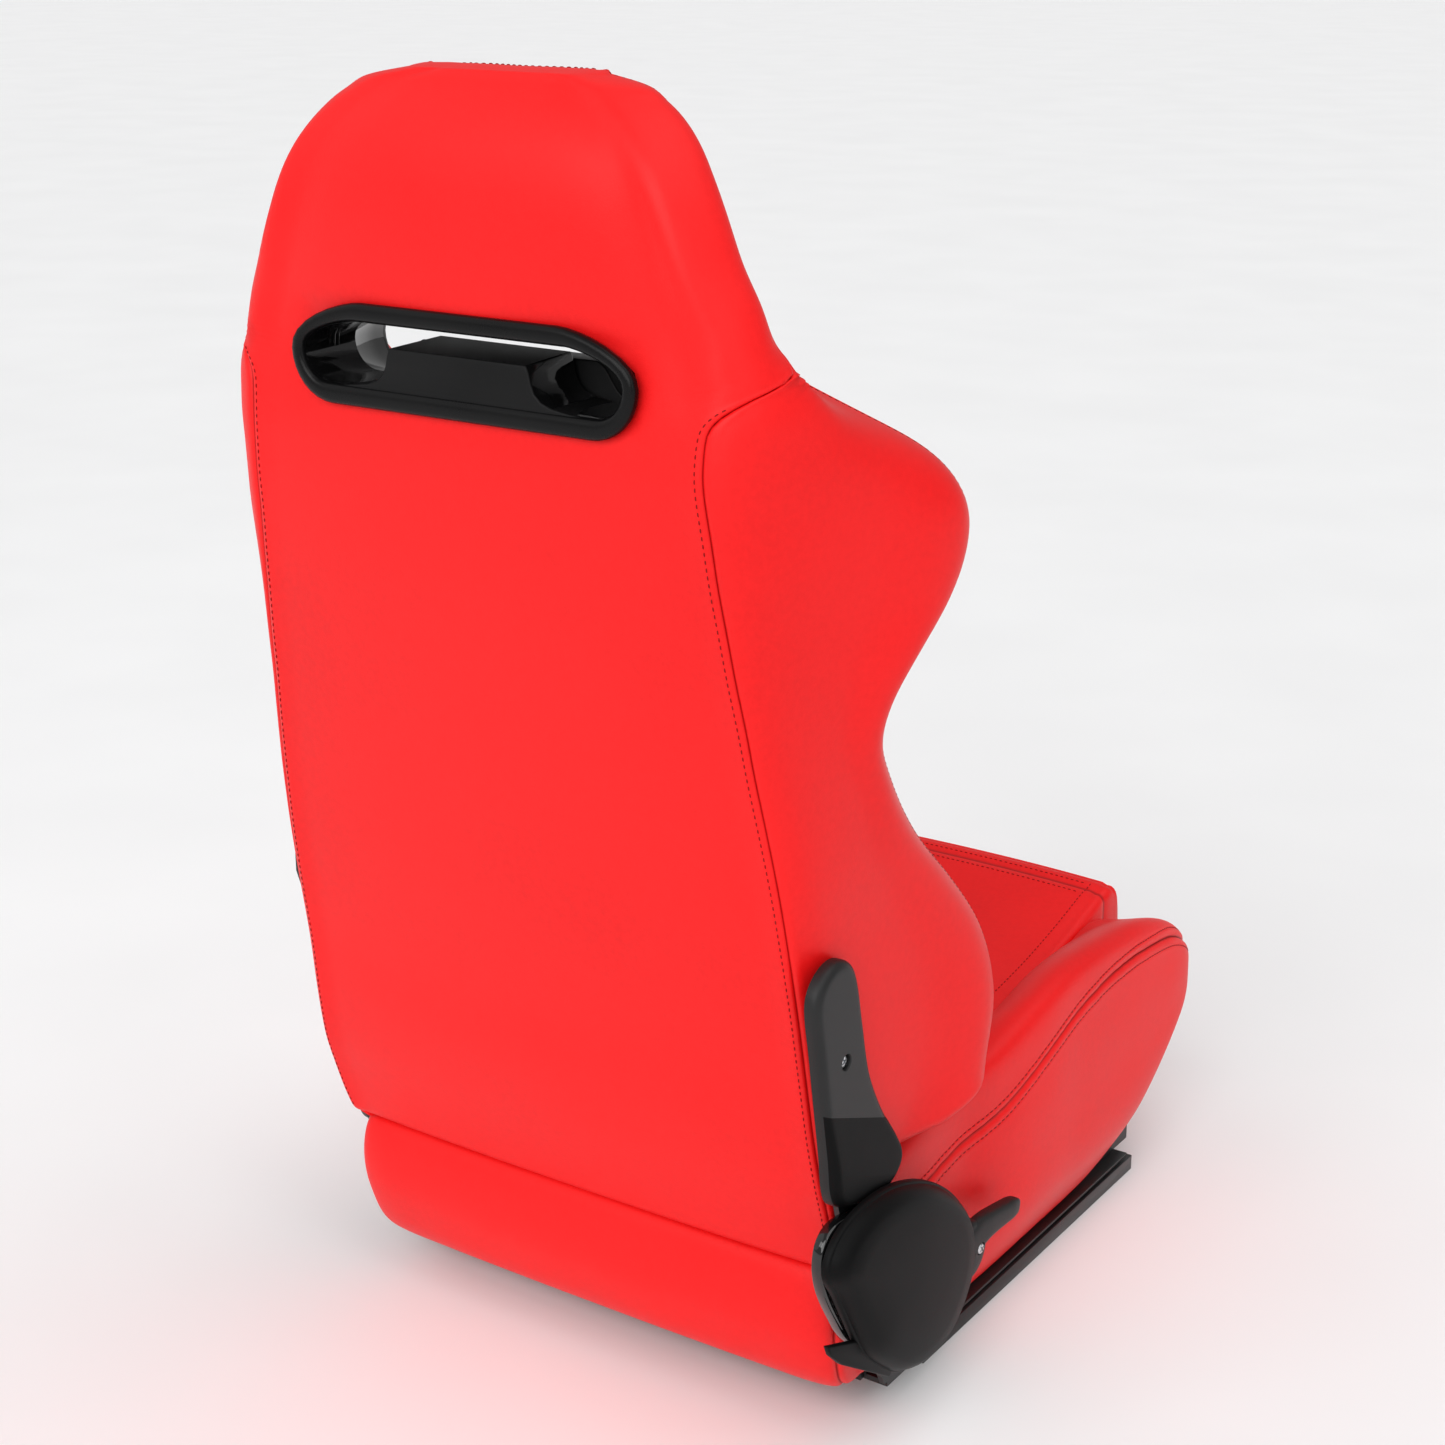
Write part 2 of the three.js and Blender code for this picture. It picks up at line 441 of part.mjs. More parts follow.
// ------------------------------------------------------------ slide rails
function rail(s) {
  const w = RAIL_W / 2, t = RAIL_T;
  const section = [[-w, 0], [w, 0], [w, RAIL_H], [6, RAIL_H], [6, RAIL_H - 5], [6 + t, RAIL_H - 5], [6 + t, RAIL_H - t], [w - t, RAIL_H - t], [w - t, t],
    [-w + t, t], [-w + t, RAIL_H - t], [-6 - t, RAIL_H - t], [-6 - t, RAIL_H - 5], [-6, RAIL_H - 5], [-6, RAIL_H], [-w, RAIL_H]];
  let g = prism(section.map(([x, z]) => [s * RAIL_X + x, z]), RAIL_REAR, RAIL_FRONT);
  for (const f of [RAIL_REAR + 22, RAIL_FRONT - 22]) g = g.subtract(rodZ(s * RAIL_X, f, -5, 5, 4.25));
  return g;
}
function slider(s) {
  const section = [[-11, 3], [11, 3], [11, 5], [2.5, 5], [2.5, 14.5], [13, 14.5], [13, 17.2], [-13, 17.2], [-13, 14.5], [-2.5, 14.5], [-2.5, 5], [-11, 5]];
  return prism(section.map(([x, z]) => [s * RAIL_X + x, z]), RAIL_REAR + 6, RAIL_FRONT - 6);
}
function endStop(s, f) { return box([s * RAIL_X - 4.2, f - 2, 2.3], [s * RAIL_X + 4.2, f + 2, 2.8]); }
for (const [side, s] of [['right', -1], ['left', 1]]) {
  add(`${side}_lower_rail`, rail(s), 'rail');
  add(`${side}_upper_rail`, slider(s), 'rail');
}

// slide release: a bar under the front edge that turns two latch plates
const towelArm = (s) => plate([[516, 27], [516, 34], [426, 34], [418, 33], [384, 24], [380, 20], [380, 8], [386, 8], [386, 16], [392, 16], [392, 8], [398, 8], [398, 16], [404, 16], [404, 9], [408, 9], [410, 20], [430, 22]], s * 172, s * 177);
add('slide_release_bar', union([towelArm(1), towelArm(-1), tube([[177, 514, 30.5], [177, 532, 32], [168, 542, 33], [60, 546, 33], [0, 546, 33], [-60, 546, 33], [-168, 542, 33], [-177, 532, 32], [-177, 514, 30.5]], 4.5, 7, 20, 0.4)]).subtract(rodX(-190, 190, TOWEL_FWD, TOWEL_Z, 2.7, 12)), 'steel');
for (const [side, s] of [['right', -1], ['left', 1]]) {
  add(`slide_release_pin_${side}`, rodX(s * 169, s * 181.6, TOWEL_FWD, TOWEL_Z, 2.4, 10).add(rodX(s * 168, s * 170, TOWEL_FWD, TOWEL_Z, 4.5, 10)), 'zinc');
}

// ------------------------------------------------------------ recliner
function ringHole(x0, x1, r) { return rodX(x0, x1, PIVOT_FWD, PIVOT_Z, r, 24); }
for (const [side, s] of [['right', -1], ['left', 1]]) {
  const right = s < 0;
  // base bracket, bolted to the cushion frame's side rail through a bent foot
  let bracket = plate(BRACKET, s * (BRACKET_X - PLATE_T / 2), s * (BRACKET_X + PLATE_T / 2)).add(plate(circle(PIVOT_FWD, PIVOT_Z, 28, 24), s * (BRACKET_X - PLATE_T / 2), s * (BRACKET_X + PLATE_T / 2)));
  bracket = bracket.add(box([s * (BRACKET_X - 1), 70, 17.6], [s * 199, 162, 21.8])).add(box([s * (BRACKET_X - 2), 70, 17.6], [s * (BRACKET_X + 2), 162, 26]));
  bracket = bracket.add(box([s * 198.3, 70, 17.6], [s * 200.3, 162, 40]));
  bracket = bracket.subtract(ringHole(s * 210, s * 222, 6.3));
  if (right) bracket = bracket.subtract(rodX(s * 210, s * 222, LEVER_FWD, LEVER_Z, 5.3, 16));
  add(`${side}_base_bracket`, bracket, 'steel');

  // arm plate carried by the backrest, toothed round the front of its hub
  const teeth = [];
  const nT = 60;
  for (let i = 0; i < nT; i++) {
    const a = (i / nT) * 2 * Math.PI;
    const deg = (a * 180) / Math.PI;
    const toothed = right && (deg < 30 || deg > 282);
    const r = toothed ? (i % 2 ? 50 : 46.5) : right ? 46.5 : 22;
    teeth.push([PIVOT_FWD + r * Math.cos(a), PIVOT_Z + r * Math.sin(a)]);
  }
  const blade = right ? [[-4, 146], ...ARM_PLATE.slice().reverse(), [-44, 300], [-30, 230]].reverse() : ARM_PLATE_LEFT;
  let arm = plate(teeth, s * (ARM_X - 2), s * (ARM_X + 2)).add(plate(blade, s * (ARM_X - 2), s * (ARM_X + 2)));
  arm = arm.subtract(ringHole(s * 220, s * 236, 6.3));
  for (const [f, z] of right ? [...ARM_BOLTS, SCREW] : ARM_BOLTS) arm = arm.subtract(rodX(s * 220, s * 236, f, z, f === SCREW[0] ? 2.8 : 3.8, 12));
  add(`${side}_backrest_arm`, arm, 'steel');

  add(`${side}_pivot_spacer`, rodX(s * 218.3, s * 226.7, PIVOT_FWD, PIVOT_Z, 14, 20).subtract(ringHole(s * 210, s * 236, 6.3)), 'zinc');
  const head1 = right ? 241.4 : 236;
  add(`${side}_pivot_bolt`, rodX(s * 205, s * (head1 - 0.5), PIVOT_FWD, PIVOT_Z, 6, 16).add(rodX(s * 204, s * 213.6, PIVOT_FWD, PIVOT_Z, 9.5, 6)).add(rodX(s * (head1 - 3), s * head1, PIVOT_FWD, PIVOT_Z, 10, 6)), 'zinc');
}

// bolts that tie each arm plate through the foam to the bosses of the hoop
for (const [side, s] of [['right', -1], ['left', 1]]) {
  ARM_BOLTS.forEach(([f, z], i) => {
    add(`${side}_arm_bolt_${['lower', 'upper'][i]}`, rodX(s * 203.3, s * 232, f, z, 3.5, 10).add(rodX(s * 231.3, s * 235, f, z, 6, 6)), 'zinc');
  });
}

// ------------------------------------------------------------ covers
function scaled(outline, k, cf, cz) { return outline.map(([f, z]) => [cf + (f - cf) * k, cz + (z - cz) * k]); }
// open-backed moulded cover: outer wall with a rounded outer edge, hollow inside
function cover(outline, s, xIn, xOut, bevel, wall, centre, k) {
  let g = plate(outline, s * (xIn - 16), s * xOut, bevel, 2).subtract(box([s * (xIn - 30), -300, -50], [s * xIn, 400, 600]));
  return g.subtract(plate(scaled(outline, k, centre[0], centre[1]), s * (xIn - 10), s * (xOut - wall)));
}
add('recliner_hood', cover(HOOD, -1, HOOD_X0, HOOD_X1, 8, 3, [33, 142], 0.955), 'moulding');
const bigHole = rodX(-228, -242, PIVOT_FWD, PIVOT_Z, 42, 28);
add('recliner_drum_cover', plate(DRUM, -DRUM_X0, -DRUM_X1, 2, 2).subtract(bigHole), 'gloss');
add('left_hinge_cover', cover(circle(PIVOT_FWD, PIVOT_Z, 15, 28), 1, 231.5, 238.2, 2, 1.5, [PIVOT_FWD, PIVOT_Z], 0.86), 'moulding');
for (const [side, s] of [['right', -1]]) {
  let g = cover(ARM_COVER, s, COVER_X0, COVER_X1, 5, 2.6, [-8, 300], 0.93);
  g = g.subtract(box([s * 220, 24, 190], [s * 231.4, 60, 222]));
  // narrow lower end: hollow follows the arm plate
  g = g.subtract(plate([[-26, 196], [34, 196], [30, 236], [20, 262], [-20, 330], [-40, 330], [-34, 240]], s * 220, s * 235.6));
  g = g.subtract(rodX(s * 230, s * 245, SCREW[0], SCREW[1], 5.6, 16));
  add(`${side}_arm_cover`, g, 'moulding');
  add(`${side}_arm_cover_screw`, rodX(s * 226.8, s * 233, SCREW[0], SCREW[1], 2.5, 10).add(rodX(s * 231.4, s * 237.6, SCREW[0], SCREW[1], 4.6, 14)), 'zinc');
}

// ------------------------------------------------------------ lock and lever
const handle = [[138, 116], [152, 121], [176, 117], [206, 112], [217, 109], [222, 103], [218, 96], [206, 95.5], [178, 98], [150, 92]];
let lever = plate(circle(LEVER_FWD, LEVER_Z, 23, 24), -LEVER_X0, -(LEVER_X1 - 1), 2).add(plate(handle, -LEVER_X0, -LEVER_X1, 4, 2));
lever = lever.subtract(rodX(-230, -237, LEVER_FWD, LEVER_Z, 5.3, 12)).subtract(rodX(-240, -250, 157, 96, 4.6, 14));
add('recline_lever', lever, 'grip');
add('recline_lever_screw', rodX(-240.3, -244.2, 157, 96, 4, 14), 'zinc');
add('recline_lever_shaft', rodX(-206, -236.7, LEVER_FWD, LEVER_Z, 5, 12).add(rodX(-206, -213.6, LEVER_FWD, LEVER_Z, 8, 6)), 'zinc');
add('recline_cam', plate([[155, 98], [151, 106], [144, 108], [122, 106], [120, 102], [122, 98.5], [138, 94], [146, 89], [153, 92]], -227, -231).subtract(rodX(-220, -240, LEVER_FWD, LEVER_Z, 5.3, 12)), 'steel');
add('recline_pawl', plate([[69, 88], [72, 81], [79, 80], [92, 86], [122, 88], [124, 93], [96, 97], [93, 104], [92, 116], [89.5, 120], [88.2, 117], [87, 112], [84, 102]], -227, -231).subtract(rodX(-220, -240, 77, 88, 4.3, 12)), 'zinc');
add('recline_pawl_pin', rodX(-218.3, -231.2, 77, 88, 4, 12).add(rodX(-218.3, -226.5, 77, 88, 6.5, 12)), 'zinc');

// flat spiral return spring round the pivot bolt, hooked behind the drum cover
const outerEdge = [], innerEdge = [];
for (let i = 0; i <= 42; i++) {
  const a = (i / 42) * 2 * Math.PI * 3 + 0.5, r = 13.5 + (24 * i) / 42;
  outerEdge.push([PIVOT_FWD + (r + 0.9) * Math.cos(a), PIVOT_Z + (r + 0.9) * Math.sin(a)]);
  innerEdge.push([PIVOT_FWD + (r - 0.9) * Math.cos(a), PIVOT_Z + (r - 0.9) * Math.sin(a)]);
}
add('recliner_spiral_spring', plate(outerEdge.concat(innerEdge.reverse()), -232, -238), 'spring');

export default seat;
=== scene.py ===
import json
import math
import random

import bmesh
import bpy
import numpy as np
from mathutils import Matrix, Vector

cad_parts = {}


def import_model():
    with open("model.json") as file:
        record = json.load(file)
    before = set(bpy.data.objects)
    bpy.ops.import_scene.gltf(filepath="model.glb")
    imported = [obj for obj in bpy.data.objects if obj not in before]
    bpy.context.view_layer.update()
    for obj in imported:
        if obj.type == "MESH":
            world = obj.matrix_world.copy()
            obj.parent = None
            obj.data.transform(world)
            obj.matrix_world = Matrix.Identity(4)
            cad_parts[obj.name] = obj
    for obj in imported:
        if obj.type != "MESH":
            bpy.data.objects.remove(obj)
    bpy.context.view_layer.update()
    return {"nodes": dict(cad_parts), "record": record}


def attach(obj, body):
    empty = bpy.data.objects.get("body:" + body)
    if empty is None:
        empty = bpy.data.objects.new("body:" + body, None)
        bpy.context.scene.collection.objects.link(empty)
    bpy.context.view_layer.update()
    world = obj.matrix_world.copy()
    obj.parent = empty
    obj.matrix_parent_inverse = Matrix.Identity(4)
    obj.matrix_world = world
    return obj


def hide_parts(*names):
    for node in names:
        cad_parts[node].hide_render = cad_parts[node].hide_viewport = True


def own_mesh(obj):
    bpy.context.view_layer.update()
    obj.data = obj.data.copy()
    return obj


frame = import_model()
NODES = frame["nodes"]
random.seed(11)
RNG = np.random.default_rng(11)
FWD0 = 232.6          # mm, Y of the backrest's lower rear edge


def world(a):
    """(x, fwd, z) in mm -> row frame in metres."""
    a = np.asarray(a, float)
    return np.stack([a[..., 0], FWD0 - a[..., 1], a[..., 2]], -1) * 0.001


# ------------------------------------------------------------------ materials
def new_mat(name):
    m = bpy.data.materials.new(name)
    m.use_nodes = True
    nt = m.node_tree
    return m, nt, nt.nodes["Principled BSDF"]


def add_node(nt, kind, **kw):
    n = nt.nodes.new(kind)
    for k, v in kw.items():
        if k in n.inputs:
            n.inputs[k].default_value = v
        else:
            setattr(n, k, v)
    return n


def ramp(nt, src, stops):
    r = nt.nodes.new("ShaderNodeValToRGB")
    el = r.color_ramp.elements
    while len(el) < len(stops):
        el.new(0.5)
    for e, (p, c) in zip(el, stops):
        e.position = p
        e.color = c if len(c) == 4 else (*c, 1)
    nt.links.new(src, r.inputs["Fac"])
    return r


def noise(nt, coord, scale, detail=3, rough=0.5):
    n = add_node(nt, "ShaderNodeTexNoise", Scale=scale, Detail=detail, Roughness=rough)
    nt.links.new(coord, n.inputs["Vector"])
    return n


def grey(v):
    return (v, v, v, 1)


def leather(name, dark, mid, light, rough=(0.36, 0.5), grain=0.22, seam=True):
    m, nt, b = new_mat(name)
    co = add_node(nt, "ShaderNodeTexCoord").outputs["Object"]
    # broad tone changes and fine mottling of the hide
    n1 = noise(nt, co, 5.5, 3)
    n2 = noise(nt, co, 210, 4, 0.6)
    mix = add_node(nt, "ShaderNodeMix", data_type="FLOAT")
    mix.inputs[0].default_value = 0.35
    nt.links.new(n1.outputs["Fac"], mix.inputs[2])
    nt.links.new(n2.outputs["Fac"], mix.inputs[3])
    col = ramp(nt, mix.outputs[0], [(0.3, dark), (0.5, mid), (0.72, light)])
    out_col = col.outputs["Color"]
    # painted shade: the seam mask darkens the colour towards a deep red along the seam lines, in place of the shade in
    # the creases where the cover is pulled in
    if seam:
        at = add_node(nt, "ShaderNodeAttribute", attribute_name="seam")
        seam_shade_mix = add_node(nt, "ShaderNodeMix", data_type="RGBA")
        seam_shade_ramp = ramp(nt, at.outputs["Fac"], [(0.0, grey(0)), (1.0, grey(0.85))])
        nt.links.new(seam_shade_ramp.outputs["Color"], seam_shade_mix.inputs[0])
        nt.links.new(out_col, seam_shade_mix.inputs[6])
        seam_shade_mix.inputs[7].default_value = (dark[0] * 0.2, dark[1] * 0.2, dark[2] * 0.2, 1)
        out_col = seam_shade_mix.outputs[2]
    nt.links.new(out_col, b.inputs["Base Color"])
    rr = ramp(nt, n1.outputs["Fac"], [(0.3, grey(rough[0])), (0.7, grey(rough[1]))])
    nt.links.new(rr.outputs["Color"], b.inputs["Roughness"])
    # grain: cells of about a millimetre with soft creases between them
    vor = add_node(nt, "ShaderNodeTexVoronoi", Scale=620, feature="DISTANCE_TO_EDGE")
    warp = add_node(nt, "ShaderNodeVectorMath", operation="MULTIPLY_ADD")
    wn = noise(nt, co, 90, 2)
    nt.links.new(wn.outputs["Color"], warp.inputs[0])
    warp.inputs[1].default_value = (0.004, 0.004, 0.004)
    nt.links.new(co, warp.inputs[2])
    nt.links.new(warp.outputs[0], vor.inputs["Vector"])
    vr = ramp(nt, vor.outputs["Distance"], [(0.0, grey(0)), (0.14, grey(0.75)), (0.5, grey(1))])
    n3 = noise(nt, co, 28, 3)
    hsum = add_node(nt, "ShaderNodeMix", data_type="FLOAT")
    hsum.inputs[0].default_value = 0.25
    nt.links.new(vr.outputs["Color"], hsum.inputs[2])
    nt.links.new(n3.outputs["Fac"], hsum.inputs[3])
    bump = add_node(nt, "ShaderNodeBump", Strength=grain, Distance=0.0003)
    nt.links.new(hsum.outputs[0], bump.inputs["Height"])
    nt.links.new(bump.outputs["Normal"], b.inputs["Normal"])
    b.inputs["Specular IOR Level"].default_value = 0.22
    b.inputs["Coat Weight"].default_value = 0.03
    b.inputs["Coat Roughness"].default_value = 0.3
    return m


def plastic(name, c0, c1, rough, scale, bump_strength, bump_distance=0.0002, spec=0.5, coat=0.0):
    m, nt, b = new_mat(name)
    co = add_node(nt, "ShaderNodeTexCoord").outputs["Object"]
    n1 = noise(nt, co, 9, 3)
    n2 = noise(nt, co, scale, 4, 0.65)
    col = ramp(nt, n1.outputs["Fac"], [(0.3, c0), (0.7, c1)])
    nt.links.new(col.outputs["Color"], b.inputs["Base Color"])
    mixf = add_node(nt, "ShaderNodeMix", data_type="FLOAT")
    mixf.inputs[0].default_value = 0.4
    nt.links.new(n1.outputs["Fac"], mixf.inputs[2])
    nt.links.new(n2.outputs["Fac"], mixf.inputs[3])
    rr = ramp(nt, mixf.outputs[0], [(0.3, grey(rough[0])), (0.7, grey(rough[1]))])
    nt.links.new(rr.outputs["Color"], b.inputs["Roughness"])
    if bump_strength:
        bump = add_node(nt, "ShaderNodeBump", Strength=bump_strength, Distance=bump_distance)
        nt.links.new(n2.outputs["Fac"], bump.inputs["Height"])
        nt.links.new(bump.outputs["Normal"], b.inputs["Normal"])
    b.inputs["Specular IOR Level"].default_value = spec
    b.inputs["Coat Weight"].default_value = coat
    b.inputs["Coat Roughness"].default_value = 0.06
    return m


def metal(name, c0, c1, rough, metallic, scale=160, stretch=(1, 1, 1), bump_strength=0.12):
    m, nt, b = new_mat(name)
    co = add_node(nt, "ShaderNodeTexCoord").outputs["Object"]
    mp = add_node(nt, "ShaderNodeMapping")
    mp.inputs["Scale"].default_value = stretch
    nt.links.new(co, mp.inputs["Vector"])
    n1 = noise(nt, co, 14, 4)
    n2 = noise(nt, mp.outputs["Vector"], scale, 5, 0.65)
    mx = add_node(nt, "ShaderNodeMix", data_type="FLOAT")
    mx.inputs[0].default_value = 0.5
    nt.links.new(n1.outputs["Fac"], mx.inputs[2])
    nt.links.new(n2.outputs["Fac"], mx.inputs[3])
    col = ramp(nt, mx.outputs[0], [(0.32, c0), (0.68, c1)])
    nt.links.new(col.outputs["Color"], b.inputs["Base Color"])
    rr = ramp(nt, mx.outputs[0], [(0.3, grey(rough[0])), (0.7, grey(rough[1]))])
    nt.links.new(rr.outputs["Color"], b.inputs["Roughness"])
    b.inputs["Metallic"].default_value = metallic
    bump = add_node(nt, "ShaderNodeBump", Strength=bump_strength, Distance=0.0002)
    nt.links.new(n2.outputs["Fac"], bump.inputs["Height"])
    nt.links.new(bump.outputs["Normal"], b.inputs["Normal"])
    return m


RED = leather("red_leather", (0.74, 0.0050, 0.0055), (0.82, 0.0068, 0.0074), (0.88, 0.0090, 0.0096))
THREAD = leather("thread", (0.16, 0.002, 0.002), (0.22, 0.003, 0.003), (0.30, 0.005, 0.005), rough=(0.6, 0.8), grain=0.6, seam=False)
MOULD = plastic("satin_moulding", (0.0035, 0.0035, 0.0037), (0.0055, 0.0055, 0.0057), (0.38, 0.48), 900, 0.35, spec=0.07)
# darker copy of the satin moulding: painted shade for the arm cover's lower facet
MOULD_PAINTED_SHADE = plastic("painted_shade_moulding", (0.0022, 0.0022, 0.0024), (0.0036, 0.0036, 0.0038), (0.42, 0.54), 1100, 0.4, spec=0.08)
COVER_PL = plastic("cover_moulding", (0.009, 0.009, 0.0093), (0.014, 0.014, 0.0144), (0.38, 0.5), 1100, 0.5, spec=0.28)
BEZEL = plastic("bezel_moulding", (0.002, 0.002, 0.0022), (0.0038, 0.0038, 0.004), (0.24, 0.33), 1200, 0.22, spec=0.17)
BEZEL_MATTE = plastic("bezel_plate", (0.0028, 0.0028, 0.003), (0.005, 0.005, 0.0052), (0.4, 0.52), 1400, 0.45, spec=0.17)
GLOSS = plastic("gloss_moulding", (0.003, 0.003, 0.0032), (0.005, 0.005, 0.0052), (0.05, 0.11), 260, 0.04, spec=0.5, coat=0.3)
GRIP = plastic("lever_moulding", (0.0075, 0.0075, 0.0078), (0.012, 0.012, 0.0123), (0.42, 0.55), 1300, 0.6, spec=0.3)
STEEL = metal("black_painted_steel", (0.008, 0.008, 0.0085), (0.014, 0.014, 0.0145), (0.34, 0.48), 0.15, 240)
RAILM = metal("black_rail_steel", (0.009, 0.009, 0.0095), (0.017, 0.017, 0.0175), (0.26, 0.42), 0.3, 120, (1, 0.12, 1))
ZINC = metal("plated_steel", (0.50, 0.51, 0.53), (0.74, 0.75, 0.77), (0.18, 0.36), 0.95, 300)
SPRING = metal("spring_wire", (0.14, 0.14, 0.15), (0.24, 0.24, 0.25), (0.3, 0.48), 0.85, 200)

SLOT_OF = {"cover": RED, "black_steel": STEEL, "rail_steel": RAILM, "spring_wire": SPRING, "plated_steel": ZINC,
           "cover_plastic": COVER_PL, "bezel_plastic": BEZEL, "gloss_plastic": GLOSS, "lever_plastic": GRIP}


# ------------------------------------------------------------------- helpers
def mesh_object(name, verts, faces, mat, smooth=True, attrs=None, weld=None, recalc=True):
    me = bpy.data.meshes.new(name)
    me.from_pydata([tuple(v) for v in np.asarray(verts, float)], [], [tuple(int(i) for i in f) for f in faces])
    if attrs:
        for key, val in attrs.items():
            a = me.attributes.new(key, "FLOAT", "POINT")
            a.data.foreach_set("value", np.asarray(val, np.float32))
    bm = bmesh.new()
    bm.from_mesh(me)
    if weld:
        bmesh.ops.remove_doubles(bm, verts=bm.verts, dist=weld)
        bmesh.ops.dissolve_degenerate(bm, dist=weld * 0.5, edges=bm.edges)
    if recalc:
        bmesh.ops.recalc_face_normals(bm, faces=bm.faces)
    bm.to_mesh(me)
    bm.free()
    me.polygons.foreach_set("use_smooth", [smooth] * len(me.polygons))
    me.materials.append(mat)
    ob = bpy.data.objects.new(name, me)
    bpy.context.scene.collection.objects.link(ob)
    return ob


def apply_mods(ob):
    dg = bpy.context.evaluated_depsgraph_get()
    dg.update()
    me = bpy.data.meshes.new_from_object(ob.evaluated_get(dg), preserve_all_data_layers=True, depsgraph=dg)
    old = ob.data
    ob.modifiers.clear()
    ob.data = me
    bpy.data.meshes.remove(old)
    me.name = ob.name


def auto_smooth(ob, deg=32):
    """Sharp edges where faces turn by more than deg."""
    me = ob.data
    bm = bmesh.new()
    bm.from_mesh(me)
    lim = math.radians(deg)
    for e in bm.edges:
        e.smooth = not (len(e.link_faces) == 2 and e.calc_face_angle(0) > lim)
    for f in bm.faces:
        f.smooth = True
    bm.to_mesh(me)
    bm.free()


def cut(ob, cutter):
    m = ob.modifiers.new("cut", "BOOLEAN")
    m.operation = "DIFFERENCE"
    m.solver = "EXACT"
    m.object = cutter
    apply_mods(ob)
    bpy.data.objects.remove(cutter, do_unlink=True)


def bevel(ob, width, segments=3, angle=30):
    m = ob.modifiers.new("bevel", "BEVEL")
    m.width = width * 0.001
    m.segments = segments
    m.limit_method = "ANGLE"
    m.angle_limit = math.radians(angle)
    m.harden_normals = False
    apply_mods(ob)
    auto_smooth(ob, 35)


def finish_piece(ob, body, slot, *nodes, pad=None):
    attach(ob, body)
    if nodes:
        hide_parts(*nodes)
    return ob


def join(name, obs):
    """One mesh object from several, keeping each one's material."""
    mats, verts, faces, mi, sm, off = [], [], [], [], [], 0
    for o in obs:
        me = o.data
        idx = []
        for m in me.materials:
            if m not in mats:
                mats.append(m)
            idx.append(mats.index(m))
        verts += [o.matrix_world @ v.co for v in me.vertices]
        for p in me.polygons:
            faces.append([i + off for i in p.vertices])
            mi.append(idx[p.material_index])
            sm.append(p.use_smooth)
        off += len(me.vertices)
    me = bpy.data.meshes.new(name)
    me.from_pydata([tuple(v) for v in verts], [], faces)
    for m in mats:
        me.materials.append(m)
    me.polygons.foreach_set("material_index", mi)
    me.polygons.foreach_set("use_smooth", sm)
    for o in obs:
        bpy.data.objects.remove(o, do_unlink=True)
    ob = bpy.data.objects.new(name, me)
    bpy.context.scene.collection.objects.link(ob)
    auto_smooth(ob, 35)
    return ob


# --------------------------------------------------- smooth tables and sections
class Table:
    """Rows of numbers against one coordinate, smoothed; evaluates at any value."""

    def __init__(self, rows, sigma, keep_end=0.0, step=1.5):
        a = np.array(rows, float)
        x, y = a[:, 0], a[:, 1:]
        h = np.diff(x)[:, None]
        dl = np.diff(y, axis=0) / h
        d = np.zeros_like(y)
        d[1:-1] = (dl[:-1] * h[1:] + dl[1:] * h[:-1]) / (h[1:] + h[:-1])
        d[0], d[-1] = dl[0], dl[-1]
        self.x = np.linspace(x[0], x[-1], int((x[-1] - x[0]) / step) + 1)
        i = np.clip(np.searchsorted(x, self.x, side="right") - 1, 0, len(x) - 2)
        t = ((self.x - x[i]) / (x[i + 1] - x[i]))[:, None]
        hh = (x[i + 1] - x[i])[:, None]
        v = (2 * t**3 - 3 * t**2 + 1) * y[i] + (t**3 - 2 * t**2 + t) * hh * d[i] + (-2 * t**3 + 3 * t**2) * y[i + 1] + (t**3 - t**2) * hh * d[i + 1]
        if sigma:
            n = int(3 * sigma / step)
            k = np.exp(-0.5 * (np.arange(-n, n + 1) * step / sigma) ** 2)
            k /= k.sum()
            lo = 2 * v[0] - v[1:n + 1][::-1]
            hi = 2 * v[-1] - v[-n - 1:-1][::-1]
            s = np.apply_along_axis(lambda c: np.convolve(c, k, "valid"), 0, np.vstack([lo, v, hi]))
            w = np.ones(len(self.x))
            if keep_end:
                w = np.clip((self.x[-1] - self.x) / keep_end - 0.2, 0, 1)
            v = v + (s - v) * w[:, None]
        self.v = v

    def __call__(self, x):
        x = np.asarray(x, float)
        f = np.clip((x - self.x[0]) / (self.x[1] - self.x[0]), 0, len(self.x) - 1.000001)
        i = f.astype(int)
        t = (f - i)[..., None]
        return self.v[i] * (1 - t) + self.v[i + 1] * t


